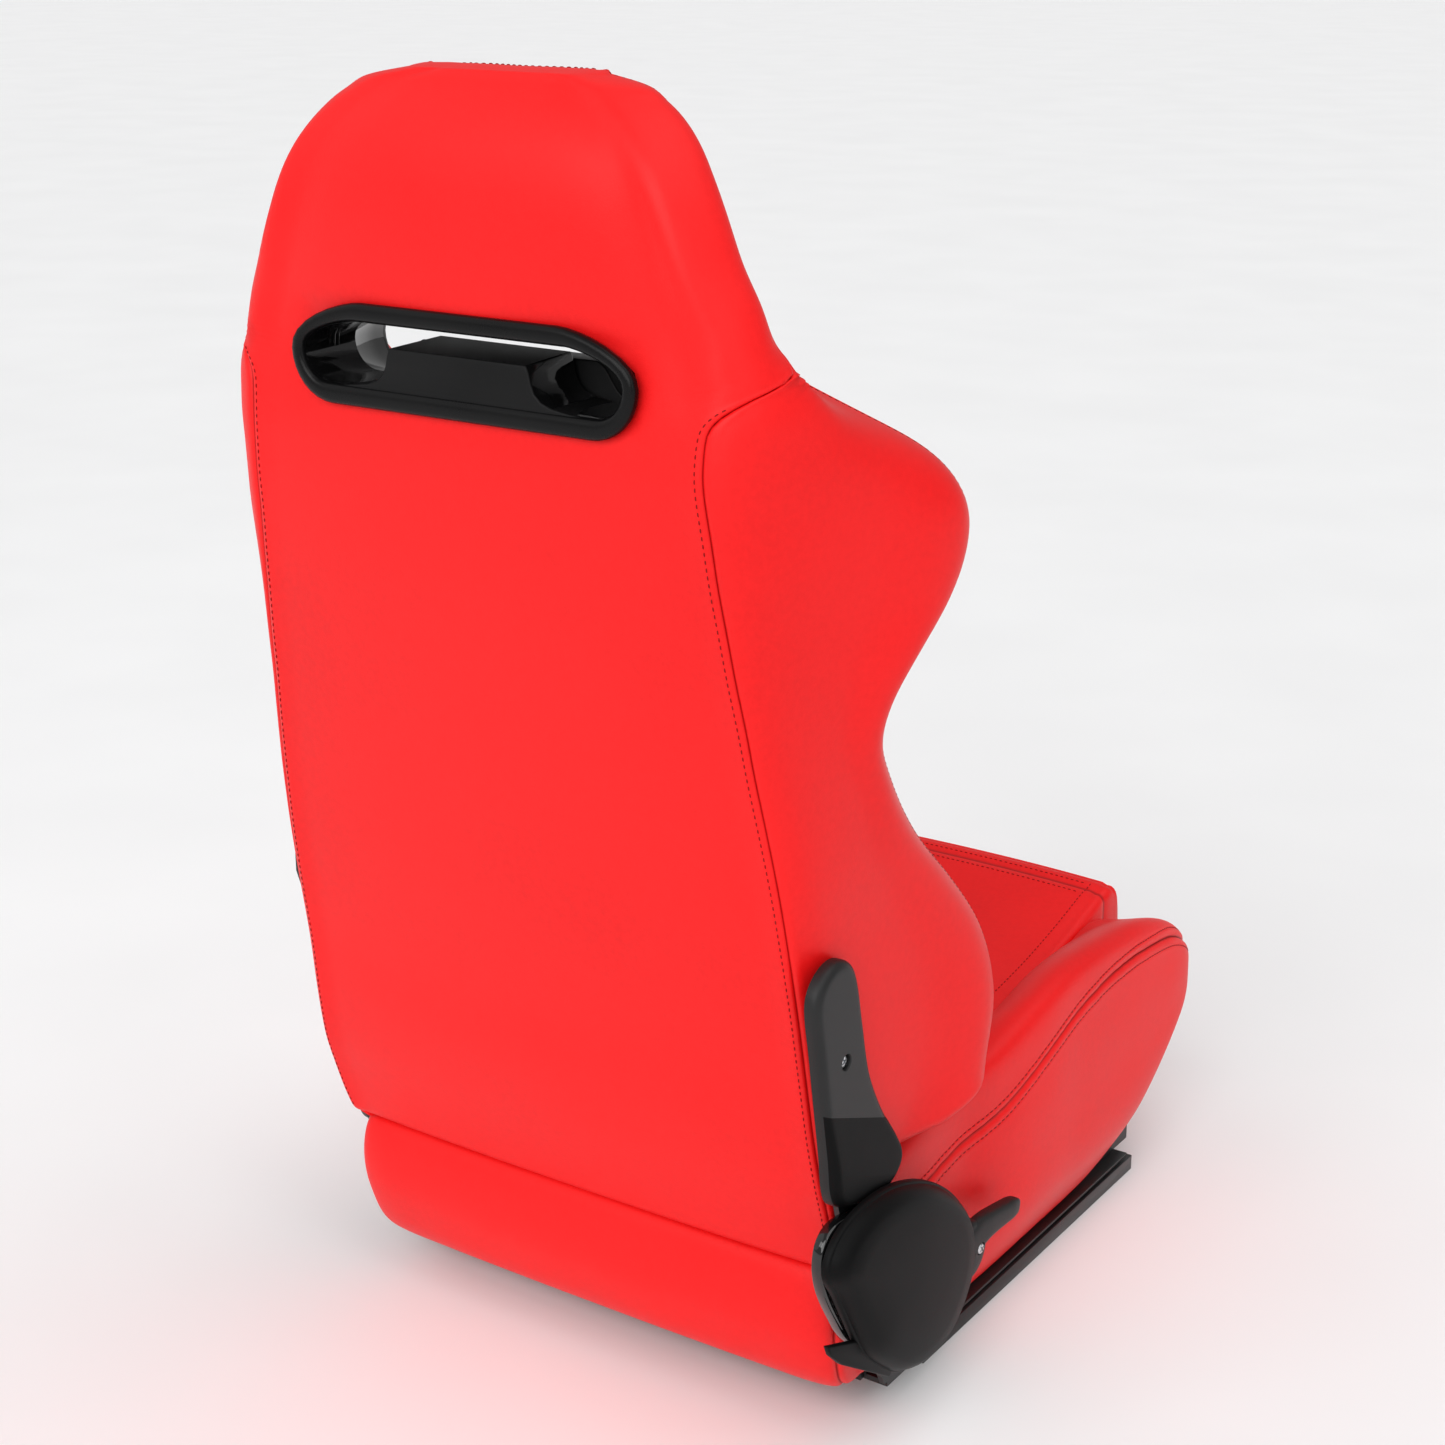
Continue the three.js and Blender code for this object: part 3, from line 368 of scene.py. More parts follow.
def hermite(Q, u, closed=False):
    """Q (N, K, 2) control points, u (N,) in 0..K-1 (or 0..K closed): smooth curve through the points."""
    N, K, _ = Q.shape
    if closed:
        E = np.concatenate([Q[:, -1:], Q, Q[:, :2]], 1)
    else:
        E = np.concatenate([Q[:, 1:2] * [-1, 1], Q, Q[:, -2:-1] * [-1, 1]], 1)
    c = np.sqrt(np.maximum(np.linalg.norm(np.diff(E, axis=1), axis=2), 1e-3))
    u = np.clip(u, 0, (K if closed else K - 1) - 1e-6)
    i = u.astype(int)
    t = (u - i)[:, None]
    r = np.arange(N)
    p0, p1, p2, p3 = E[r, i], E[r, i + 1], E[r, i + 2], E[r, np.minimum(i + 3, E.shape[1] - 1)]
    c0, c1, c2 = c[r, i][:, None], c[r, i + 1][:, None], c[r, np.minimum(i + 2, c.shape[1] - 1)][:, None]
    m1 = ((p2 - p1) / c1 * c0 + (p1 - p0) / c0 * c1) / (c0 + c1)
    m2 = ((p3 - p2) / c2 * c1 + (p2 - p1) / c1 * c2) / (c1 + c2)
    return (2 * t**3 - 3 * t**2 + 1) * p1 + (t**3 - 2 * t**2 + t) * c1 * m1 + (-2 * t**3 + 3 * t**2) * p2 + (t**3 - t**2) * c1 * m2


def normals(P):
    """Unit normals of a grid of points (R, C, 3)."""
    du = np.gradient(P, axis=1)
    dv = np.gradient(P, axis=0)
    n = np.cross(du, dv)
    L = np.linalg.norm(n, axis=2, keepdims=True)
    n = n / np.maximum(L, 1e-9)
    bad = L[..., 0] < 1e-6
    for _ in range(4):
        if not bad.any():
            break
        m = np.zeros_like(n)
        for ax in (0, 1):
            for s in (1, -1):
                m += np.roll(np.where(bad[..., None], 0, n), s, axis=ax)
        l2 = np.linalg.norm(m, axis=2, keepdims=True)
        n = np.where(bad[..., None] & (l2 > 1e-6), m / np.maximum(l2, 1e-9), n)
        bad = bad & (l2[..., 0] < 1e-6)
    return n


def shell(name, P, N, disp, thick, mat, seam):
    """Closed padded skin: outer face P + N disp, inner face P - N thick."""
    R, C, _ = P.shape
    out = P + N * disp[..., None]
    inn = P - N * (thick if np.isscalar(thick) else thick[..., None])
    V = world(np.concatenate([out.reshape(-1, 3), inn.reshape(-1, 3)]))
    idx = np.arange(R * C).reshape(R, C)
    a, b, c, d = idx[:-1, :-1].ravel(), idx[:-1, 1:].ravel(), idx[1:, 1:].ravel(), idx[1:, :-1].ravel()
    F = list(zip(a, b, c, d))
    k = R * C
    F += list(zip(d + k, c + k, b + k, a + k))
    ring = list(idx[0, :]) + list(idx[1:, -1]) + list(idx[-1, -2::-1]) + list(idx[-2:0:-1, 0])
    for i in range(len(ring)):
        p, q = ring[i], ring[(i + 1) % len(ring)]
        F.append((q, p, p + k, q + k))
    # the seam attribute is a painted shade mask for the seam creases; the inner face gets none
    s = np.concatenate([seam.ravel(), np.zeros(R * C)])
    return mesh_object(name, V, F, mat, attrs={"seam": s}, weld=0.00002)


NEAR = np.array([0, 0.7, 1.5, 2.4, 3.5, 5.0, 6.6, 7.4, 8.0, 8.6, 9.4, 11, 13.5, 17])


def schedule(L, n, near_a=True, near_b=True):
    """Distances along a section of length L: close together beside the seams."""
    na = NEAR if near_a else np.array([0.0])
    nb = NEAR if near_b else np.array([0.0])
    k = min(1.0, 0.8 * L / max(1e-6, na[-1] + nb[-1])) if (near_a or near_b) else 1.0
    na, nb = na * k, nb * k
    mid = np.linspace(na[-1], L - nb[-1], n + 2)[1:-1]
    return np.concatenate([na, mid, L - nb[::-1]])


def valley(d, depth=3.2, w=2.4):
    """How far a cover is pulled in at distance d from a seam, with the small roll beside it."""
    return -depth * np.exp(-(d / w) ** 1.3) + 0.5 * np.exp(-((d - 5.5) / 3.5) ** 2) - 0.55 * np.exp(-((d - 8.0) / 0.9) ** 2)


def soft_valley(d, depth=2.6, w=2.2):
    return -depth * np.exp(-(d / w) ** 1.3) + 0.35 * np.exp(-((d - 5.0) / 3.5) ** 2)


def roll(s, r):
    """Inward offset of an edge rolled with radius r, at distance s from the edge."""
    s = np.clip(s, 0, r)
    return -(r - np.sqrt(np.maximum(r * r - (r - s) ** 2, 0)))


# stitches ------------------------------------------------------------------
class Stitches:
    def __init__(self):
        self.v, self.f = [], []

    def one(self, a, b, n, r):
        """A short thread between a and b (mm), bowed out of the cover."""
        ax = b - a
        L = np.linalg.norm(ax)
        if L < 0.3:
            return
        ax = ax / L
        n = n - ax * np.dot(n, ax)
        n = n / max(1e-9, np.linalg.norm(n))
        s = np.cross(ax, n)
        base = sum(len(x) for x in self.v)
        pts = []
        for t, rr, lift in ((0, 0.25, -0.55), (0.12, 0.8, -0.05), (0.35, 1, 0.28), (0.65, 1, 0.28), (0.88, 0.8, -0.05), (1, 0.25, -0.55)):
            c = a + ax * (L * t) + n * (lift * r * 1.6)
            for k in range(6):
                q = k * math.pi / 3
                pts.append(c + (n * math.sin(q) * 0.85 + s * math.cos(q)) * r * rr)
        self.v.append(np.array(pts))
        for i in range(5):
            for k in range(6):
                p, q = base + i * 6 + k, base + i * 6 + (k + 1) % 6
                self.f.append((p, q, q + 6, p + 6))
        self.f.append(tuple(base + k for k in range(5, -1, -1)))
        self.f.append(tuple(base + 30 + k for k in range(6)))

    def row(self, P, N, length=3.6, gap=1.5, r=0.42, lift=0.1, skip=0.0):
        """Stitches along a polyline of points with normals."""
        P, N = np.asarray(P, float), np.asarray(N, float)
        s = np.concatenate([[0], np.cumsum(np.linalg.norm(np.diff(P, axis=0), axis=1))])
        total = s[-1] - 2 * skip
        if total < length:
            return
        n = int(total / (length + gap))
        pitch = total / n
        at = lambda x, A: np.array([np.interp(x, s, A[:, k]) for k in range(3)])
        for i in range(n):
            p = skip + i * pitch + gap / 2
            a, b, m = at(p, P), at(p + pitch - gap, P), at(p + (pitch - gap) / 2, N)
            self.one(a + m * lift, b + m * lift, m, r)

    def build(self, name, body, slot):
        ob = mesh_object(name, world(np.concatenate(self.v)), self.f, THREAD)
        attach(ob, body)
        return ob


BACK_ST, SEAT_ST = Stitches(), Stitches()

# ------------------------------------------------------------------ backrest
BACK = [
    [142, 215, -2, 3, 213, 7, 213, 50, 240, 150, 200, 140, 150, 58],
    [150, 217, -5, 3, 213, 6, 213, 50, 242, 150, 200, 140, 150, 60],
    [170, 220, -11, 4, 213, 6, 213, 52, 246, 152, 203, 142, 150, 60],
    [190, 221, -17, 5, 218, 6, 218, 56, 248, 154, 203, 146, 150, 60],
    [214, 221, -25, 5, 221, 4, 221, 62, 249, 156, 204, 148, 150, 59],
    [246, 219, -32, 6, 222, -4, 228, 72, 249, 158, 204, 150, 150, 58],
    [304, 216, -41, 6, 222, -14, 234, 76, 250, 166, 204, 156, 150, 54],
    [355, 214.5, -50, 6, 222, -24, 232, 66, 244, 153, 200, 142, 148, 45],
    [400, 212, -58, 6, 221, -38, 228, 42, 237, 120, 194, 110, 144, 36],
    [437, 209, -64, 6, 218, -50, 226, 22, 232, 86, 189, 78, 140, 28],
    [490, 203, -73, 6, 212, -60, 223, 4, 230, 50, 185, 42, 130, 14],
    [520, 199, -78, 6, 208, -67, 222, -10, 232, 34, 186, 27, 128, 7],
    [550, 196, -83, 6, 205, -73, 224, -16, 239, 34, 191, 28, 126, 1],
    [580, 192, -88, 6, 203, -78, 228, -16, 249, 48, 199, 42, 124, -6],
    [612, 188.5, -93, 6, 201, -84, 233, -10, 257, 72, 205, 64, 123, -11],
    [646, 184.5, -98, 5, 200, -89, 237, -6, 262, 84, 209, 74, 122, -16],
    [668, 183, -101, 4, 199, -91, 238, -6, 261, 85, 208, 75, 121, -18],
    [690, 180.5, -103.5, 3, 198, -93, 236, -10, 251, 79, 199, 70, 120, -20],
    [708, 179, -105, 2, 198, -94, 232, -18, 237, 64, 188, 54, 119, -17],
    [725, 179.4, -103.5, 2, 199, -92, 226, -26, 219, 39, 172, 28, 118, -15],
    [741, 181, -101.5, 3, 201, -89, 220, -34, 204, 14, 160, 4, 116, -14],
    [757, 184, -96.5, 8, 203, -80, 213, -42, 190, -10, 150, -12, 112, -13],
    [770, 186, -94, 11, 203, -74, 204, -48, 180, -22, 146, -14, 108, -12],
    [783, 186, -92, 14, 199, -66, 190, -48, 172, -28, 142, -14, 104, -11],
    [800, 178, -94, 13, 193.5, -66, 176, -42, 152, -20, 128, -8, 96, -5],
    [825, 166, -97, 11, 180, -66, 162, -42, 139, -20, 116, -4, 88, 4],
    [850, 155, -97, 11, 170, -66, 151, -42, 127, -20, 106, 0, 80, 8],
    [875, 142, -95, 10, 158, -64, 140, -42, 117, -20, 96, -2, 72, 6],
    [900, 122, -88, 9, 141, -60, 124, -40, 104, -20, 82, -6, 62, -2],
    [915, 104, -80, 7, 123, -58, 108, -38, 90, -20, 70, -12, 54, -10],
    [925, 84, -72, 4, 103, -55, 90, -38, 76, -20, 58, -18, 44, -18],
    [930, 62, -66, 2, 76, -52, 68, -40, 58, -20, 46, -24, 34, -25],
]
BT = Table(BACK, 7.0, keep_end=30)


def back_ctrl(z):
    v = BT(z)
    xr, fr, cr, x4, f4, x5, f5, xt, ft, xi, fi, xb, fc = [v[:, k] for k in range(13)]
    O = np.zeros_like(xr)
    return np.stack([np.stack(p, -1) for p in [
        (O, fr - cr), (0.55 * xr, fr - 0.75 * cr), (xr - 22, fr - 0.25 * cr), (xr, fr), (x4, f4), (x5, f5),
        (xt, ft - 20), (xt - 12, ft - 2), (xi, fi), (xb, fc + 4), (O, fc)]], 1)


def back_at(u, z):
    """Points (x, fwd, z) of the backrest's outer form."""
    sh = np.shape(z)
    u, z = np.ravel(u).astype(float), np.ravel(z).astype(float)
    q = hermite(back_ctrl(z), u)
    return np.concatenate([q, z[:, None]], 1).reshape(*sh, 3)


def smooth01(t):
    t = np.clip(t, 0, 1)
    return t * t * (3 - 2 * t)


def u_front(z):
    """Where the front edge seam lies in the section: point 7 on the shoulders, point 5 on the head."""
    return 7 - 2.0 * smooth01((np.asarray(z, float) - 748) / 56)


def u_rear(z):
    z = np.asarray(z, float)
    t = smooth01((z - 728) / 64) ** 1.5
    return 3 + (u_front(z) - 3) * t


def panel_cols(uA, uB, zs, n, near_a=True, near_b=True):
    """For each z: u of each column and its distance from each end of the section."""
    U, DA, DB = [], [], []
    for z in zs:
        a, b = float(uA(z)), float(uB(z))
        uu = np.linspace(a, b, 161)
        p = back_at(uu, np.full(161, z))
        s = np.concatenate([[0], np.cumsum(np.linalg.norm(np.diff(p[:, :2], axis=0), axis=1))])
        d = schedule(max(s[-1], 0.5), n, near_a, near_b)
        U.append(np.interp(d, s, uu))
        DA.append(d)
        DB.append(s[-1] - d)
    return np.array(U), np.array(DA), np.array(DB)


ZL = np.concatenate([np.arange(142, 880, 4.0), np.arange(880, 915, 2.5), np.arange(915, 925, 1.25), np.linspace(925, 930, 8)])


def interp_cols(T, z, zs):
    """T (Z, C) against zs, at z (R, C)."""
    return np.stack([np.interp(z[:, c], zs, T[:, c]) for c in range(z.shape[1])], 1)


def bottom_cut(f):
    return np.interp(f, [18, 30, 44, 104, 168, 190, 290], [142, 160, 206, 215.5, 243, 263, 291])


def back_panel(uA, uB, z0, z1, n, near_a=True, near_b=True, cut_bottom=False, step=5.0, cap=False):
    zs = ZL[(ZL >= z0 - 8) & (ZL <= z1 + 8)]
    U, DA, DB = panel_cols(uA, uB, zs, n, near_a, near_b)
    C = U.shape[1]
    zmin = np.full(C, float(z0))
    if cut_bottom:
        for _ in range(8):
            u = interp_cols(U, np.tile(zmin, (1, 1)), zs)[0]
            zmin = np.maximum(z0, bottom_cut(back_at(u, zmin)[:, 1]))
    # close rows at the ends, where the edges are rolled
    span = z1 - z0
    t = [0, 0.6, 1.4, 2.6, 4.2, 6.4, 9.0, 12.0]
    body_rows = list(np.arange(12 + step, span - 14, step))
    top = [span - x for x in (12.0, 8.5, 5.8, 3.6, 2.0, 0.9, 0.0)]
    tt = np.array(t + body_rows + top)
    if cap:
        zz = ZL[(ZL > z0 + 12) & (ZL <= z1)]
        tt = np.concatenate([t, zz - z0])
    frac = tt / span
    Z = zmin[None, :] + frac[:, None] * (z1 - zmin)[None, :]
    # keep the first millimetres of every column at their real size
    for r, x in enumerate(t):
        Z[r] = zmin + x
    for r in range(len(t), Z.shape[0]):
        Z[r] = np.maximum(Z[r], Z[r - 1] + 0.2)
    u = interp_cols(U, Z, zs)
    da, db = interp_cols(DA, Z, zs), interp_cols(DB, Z, zs)
    P = back_at(u, Z)
    return P, u, Z, da, db, Z - zmin[None, :], z1 - Z


def mirror_full(P, *arrays):
    """Half grid (centre line at column 0, x > 0) to a full-width grid."""
    L = P[:, :0:-1].copy()
    L[..., 0] *= -1
    out = [np.concatenate([L, P], 1)]
    for A in arrays:
        if A.ndim == 3:
            B = A[:, :0:-1].copy()
            B[..., 0] *= -1
            out.append(np.concatenate([B, A], 1))
        else:
            out.append(np.concatenate([A[:, :0:-1], A], 1))
    return out


def outward(P, N):
    """Turns the normals of a backrest grid away from the middle of the section."""
    c = np.array([0, 20.0, 0])
    d = (P - c) * [1, 1, 0]
    if np.sum(d * N) < 0:
        N = -N
    return N


def hole_prism(name, half, z0, z1, f0, f1, chamfer):
    o = stadium(half, z0, z1, chamfer, 10)
    k = len(o)
    V = [(x, f0, z) for x, z in o] + [(x, f1, z) for x, z in o]
    F = [tuple(range(k - 1, -1, -1)), tuple(range(k, 2 * k))] + [(i, (i + 1) % k, k + (i + 1) % k, k + i) for i in range(k)]
    return mesh_object(name, world(V), F, BEZEL)


def stadium(half, z0, z1, chamfer=0.0, n=12):
    """Slot outline in (x, z), anticlockwise, with the top corners cut back by chamfer."""
    r, zc = (z1 - z0) / 2, (z0 + z1) / 2
    out = []
    for i in range(n + 1):
        a = -math.pi / 2 + i / n * math.pi
        x, z = half - r + r * math.cos(a), zc + r * math.sin(a)
        if chamfer and z > zc:
            x -= chamfer * ((z - zc) / r) ** 2.2
        out.append((x, z))
    # extra points along the flats keep the faces regular
    top = [(x, z1) for x in np.linspace(out[-1][0], -out[-1][0], 26)[1:-1]]
    left = [(-x, z) for x, z in reversed(out)]
    bottom = [(x, z0) for x in np.linspace(-out[0][0], out[0][0], 26)[1:-1]]
    return out + top + left + bottom


# tone of the cover: soft folds where the head narrows beside the slot
def neck_folds(P):
    x, z = np.abs(P[..., 0]), P[..., 2]
    s = np.zeros_like(x)
    # long shallow hollows that run up from the slot's ends along the head's flanks
    for x0, slope, z0, zw, w, d in ((150, -0.34, 800, 62, 9, 1.7), (172, -0.40, 822, 52, 7, 1.0), (128, -0.30, 830, 60, 12, 0.9)):
        line = x0 + slope * (z - z0)
        s -= d * np.exp(-((x - line) / w) ** 2) * np.exp(-((z - z0) / zw) ** 2)
        s += 0.7 * d * np.exp(-((x - line - 2 * w) / w) ** 2) * np.exp(-((z - z0) / zw) ** 2)
    return s


def build_backrest():
    # A: rear panel and head wrap, one piece from the bottom hem over the top of the head
    P, u, Z, da, db, sb, st = back_panel(lambda z: 0.0, lambda z: u_rear(z), 142, 930, 44, near_a=False, near_b=True, cap=True)
    N = outward(P, normals(P))
    # over the top of the head to the front seam
    ring = P[-1]
    other = back_at(10 - u[-1], Z[-1])
    rows, drow = [], []
    caps = (0.05, 0.12, 0.22, 0.34, 0.46, 0.58, 0.7, 0.8, 0.88, 0.93, 0.97, 1.0)
    for t in caps:
        q = ring * (1 - t) + other * t
        q[:, 2] = 930 + 2.2 * math.sin(math.pi * min(1, t * 1.15) * 0.87)
        rows.append(q)
        drow.append(np.linalg.norm((other - ring) * (1 - t), axis=1))
    P = np.concatenate([P, np.array(rows)], 0)
    db = np.concatenate([db, np.minimum(np.array(drow), db[-1][None, :] + np.array(drow))], 0)
    sb = np.concatenate([sb, np.tile(sb[-1], (len(rows), 1)) + 1], 0)
    Z = P[..., 2]
    N = normals(P)
    N = outward(P, N)
    for _ in range(2):
        Q = N.copy()
        Q[1:-1] = (N[:-2] + 2 * N[1:-1] + N[2:]) / 4
        N = Q / np.linalg.norm(Q, axis=2, keepdims=True)
    k = len(caps)
    base = N[-k - 1].copy()
    for i, t in enumerate(caps):
        g = smooth01(t * 2.2)
        q = base * (1 - g) + np.array([0, 0, 1.0]) * g
        N[-k + i] = q / np.linalg.norm(q, axis=1, keepdims=True)
    thick = np.full(P.shape[:2], 11.0)
    thick[-k:] = 5.0
    thick[-k - 14:-k] = np.linspace(11.0, 5.0, 14)[:, None]
    head = smooth01((Z - 775) / 20)
    disp = soft_valley(db, 1.5, 1.2) * (1 - head) + valley(db, 2.4, 1.8) * head
    disp += 1.6 * (1 - np.exp(-db / 45)) - 0.2
    disp += roll(sb, 9.0)
    disp += neck_folds(P)
    # the panel is drawn in a little towards the slot's bezel
    dx, dz = np.maximum(np.abs(P[..., 0]) - 128, 0), np.maximum(np.abs(Z - 757) - 24, 0)
    near_slot = np.exp(-np.hypot(dx, dz) / 9.0) * (P[..., 1] < -60)
    disp -= 2.2 * near_slot
    # painted shade mask: darkens the colour in the seam crease beside the rear panel's edge
    seam = np.clip(1 - db / 0.9, 0, 1) * 0.8
    Pf, Nf, disf, seamf, thf = mirror_full(P, N, disp, seam, thick)
    ob = shell("backrest_cover_rear", Pf, Nf, disf, thf, RED, seamf)
    cut(ob, hole_prism("slot_cut_rear", 131.0, 728.5, 784.5, -150, -40, 22))
    auto_smooth(ob, 50)
    finish_piece(ob, "backrest", "cover", "backrest_rear_panel", pad=0.75)
    O = P + N * disp[..., None]
    nr = len(Z)
    j = P.shape[1] - 1 - 8            # column 8 mm from the seam
    rowz = Z[:, j]
    body = (rowz > 150) & (rowz < 752) & (np.arange(nr) < nr - len(rows))
    for s in (1, -1):
        BACK_ST.row(O[body, P.shape[1] - 1 - 5] * [s, 1, 1], N[body, P.shape[1] - 1 - 5] * [s, 1, 1], length=3.0, gap=1.9, r=0.40)
    hd = (rowz > 783) | (np.arange(nr) >= nr - len(rows))
    left = O[hd, j] * [-1, 1, 1]
    line = np.concatenate([O[hd, j], ])
    for s in (1, -1):
        BACK_ST.row(line * [s, 1, 1], N[hd, j] * [s, 1, 1], r=0.45)
    # across the top of the head, beside the seam
    k = nr - 1 - 3
    BACK_ST.row(np.concatenate([O[k, j:0:-1] * [-1, 1, 1], O[k, :j]]), np.concatenate([N[k, j:0:-1] * [-1, 1, 1], N[k, :j]]), r=0.45)

    # B: side gussets
    P, u, Z, da, db, sb, st = back_panel(u_rear, u_front, 142, 791, 34, cut_bottom=True)
    N = outward(P, normals(P))
    width = da + db
    disp = (soft_valley(da, 1.5, 1.2) + valley(db, 2.4, 1.8)) * np.clip(width / 30, 0.12, 1)
    disp += 2.2 * (1 - np.exp(-np.minimum(da, db) / 38)) * smooth01(st / 60)
    for _ in range(6):
        N[1:-1] = (N[:-2] + 2 * N[1:-1] + N[2:]) / 4
        N[:, 1:-1] = (N[:, :-2] + 2 * N[:, 1:-1] + N[:, 2:]) / 4
        N /= np.linalg.norm(N, axis=2, keepdims=True)
    disp += roll(sb, 10.0)
    # painted shade mask: darkens the colour in the seam creases at both edges of the gusset
    seam = np.clip(1 - np.minimum(da, db) / 0.9, 0, 1) * 0.8
    thick = np.clip(width * 0.2, 1.2, 13)
    O = P + N * disp[..., None]
    for side, s in (("right", -1), ("left", 1)):
        ob = shell(f"backrest_side_{side}", P * [s, 1, 1], N * [s, 1, 1], disp, thick, RED, seam)
        auto_smooth(ob, 60)
        finish_piece(ob, "backrest", "cover", f"backrest_bolster_{side}", pad=0.85)
        c = P.shape[1] - 1 - 8
        ok = (st[:, c] > 6) & (sb[:, c] > 8)
        BACK_ST.row(O[ok, c] * [s, 1, 1], N[ok, c] * [s, 1, 1], r=0.45)

    # C: front of the bolsters
    def u_inner(z):
        z = float(z)
        if z < 715:
            return 9.0
        uu = np.linspace(float(u_front(z)), 9.0, 200)
        x = back_at(uu, np.full(200, z))[:, 0]
        k = uu[np.argmin(np.abs(x - 151.0))]
        return 9.0 + (k - 9.0) * float(smooth01((z - 715) / 8))
    P, u, Z, da, db, sb, st = back_panel(u_front, u_inner, 142, 784, 22, cut_bottom=True)
    N = outward(P, normals(P))
    if N[..., 1].mean() < 0:
        N = -N
    disp = valley(da) + soft_valley(db, 4.0, 3.0) + 3.0 * (1 - np.exp(-np.minimum(da, db) / 20)) + roll(sb, 10.0) + roll(st, 4.0)
    # painted shade mask: darkens the colour in the seam creases of the bolster front
    seam = np.clip(1 - np.minimum(da, db) / 1.6, 0, 1)
    O = P + N * disp[..., None]
    cutters = []
    for side, s in (("right", -1), ("left", 1)):
        ob = shell(f"backrest_front_bolster_{side}", P * [s, 1, 1], N * [s, 1, 1], disp, 13.0, RED, seam)
        auto_smooth(ob, 60)
        finish_piece(ob, "backrest", "cover", f"backrest_bolster_{side}", pad=0.85)
        ok = (st[:, 8] > 4) & (sb[:, 8] > 8)
        BACK_ST.row(O[ok, 8] * [s, 1, 1], N[ok, 8] * [s, 1, 1], r=0.45)
        c = P.shape[1] - 1 - 5
        ok = (Z[:, c] < 712) & (sb[:, c] > 8)
        BACK_ST.row(O[ok, c] * [s, 1, 1], N[ok, c] * [s, 1, 1], length=3.0, gap=1.9, r=0.4)

    # D: centre insert
    P, u, Z, da, db, sb, st = back_panel(lambda z: 9.0 + 0 * np.asarray(z), lambda z: 10.0 + 0 * np.asarray(z), 142, 722, 22, near_a=True, near_b=False)
    P, da, sb, st, Z = P[:, ::-1], da[:, ::-1], sb[:, ::-1], st[:, ::-1], Z[:, ::-1]
    N = normals(P)
    if N[..., 1].mean() < 0:
        N = -N
    disp = soft_valley(da, 4.0, 3.0) + 5.0 * (1 - np.exp(-da / 30)) + roll(sb, 14.0) + roll(st, 3.0)
    # sewn cross channels of the insert
    for zc in (318, 452, 586):
        g = np.abs(Z - zc)
        disp -= 3.6 * np.exp(-(g / 3.2) ** 1.3) * np.clip(da / 6, 0, 1)
    # painted shade mask: darkens the colour in the side seam crease and in the sewn cross channels
    seam = np.clip(1 - da / 1.6, 0, 1)
    for zc in (318, 452, 586):
        seam = np.maximum(seam, np.clip(1 - np.abs(Z - zc) / 1.8, 0, 1))
    O = P + N * disp[..., None]
    Pf, Nf, disf, seamf = mirror_full(P, N, disp, seam)
    ob = shell("backrest_insert", Pf, Nf, disf, 12.0, RED, seamf)
    auto_smooth(ob, 60)
    finish_piece(ob, "backrest", "cover", "backrest_centre_pad", pad=0.7)
    c = P.shape[1] - 1 - 5
    ok = (Z[:, c] < 712) & (sb[:, c] > 8)
    for s in (1, -1):
        BACK_ST.row(O[ok, c] * [s, 1, 1], N[ok, c] * [s, 1, 1], length=3.0, gap=1.9, r=0.4)
    for zc in (318, 452, 586):
        for dz in (-7, 7):
            r = int(np.argmin(np.abs(Z[:, 0] - zc - dz)))
            BACK_ST.row(np.concatenate([O[r, -8:0:-1] * [-1, 1, 1], O[r, :-8]]), np.concatenate([N[r, -8:0:-1] * [-1, 1, 1], N[r, :-8]]), length=3.0, gap=1.9, r=0.4)

    # E: front of the head
    P, u, Z, da, db, sb, st = back_panel(u_front, lambda z: 10.0 + 0 * np.asarray(z), 784, 930, 30, near_a=True, near_b=False, cap=False, step=4.0)
    P, da, sb, st, Z = P[:, ::-1], da[:, ::-1], sb[:, ::-1], st[:, ::-1], Z[:, ::-1]
    N = normals(P)
    if N[..., 1].mean() < 0:
        N = -N
    for _ in range(10):
        Q = N.copy()
        Q[1:-1] = (N[:-2] + 2 * N[1:-1] + N[2:]) / 4
        Q[:, 1:-1] = (Q[:, :-2] + 2 * Q[:, 1:-1] + Q[:, 2:]) / 4
        N = Q / np.linalg.norm(Q, axis=2, keepdims=True)
    d = np.minimum(da, st * 1.0)
    disp = valley(d) * np.clip(d + 0.6, 0, 1) - 3.0 * (d < 0.6) * 0 + 3.0 * (1 - np.exp(-d / 28)) + roll(sb, 4.0)
    # painted shade mask: darkens the colour in the seam crease round the head front
    seam = np.clip(1 - d / 1.6, 0, 1)
    O = P + N * disp[..., None]
    Pf, Nf, disf, seamf = mirror_full(P, N, disp, seam)
    ob = shell("headrest_front", Pf, Nf, disf, mirror_full(P, np.clip(1.0 + 0.45 * np.minimum(d, 30), 1.0, 10.0))[1], RED, seamf)
    auto_smooth(ob, 60)
    finish_piece(ob, "backrest", "cover", "headrest_pad", pad=0.8)
    c = P.shape[1] - 1 - 8
    ok = (Z[:, c] > 790) & (st[:, c] > 6)
    for s in (1, -1):
        BACK_ST.row(O[ok, c] * [s, 1, 1], N[ok, c] * [s, 1, 1], r=0.45)
    BACK_ST.build("backrest_stitching", "backrest", "cover")


build_backrest()

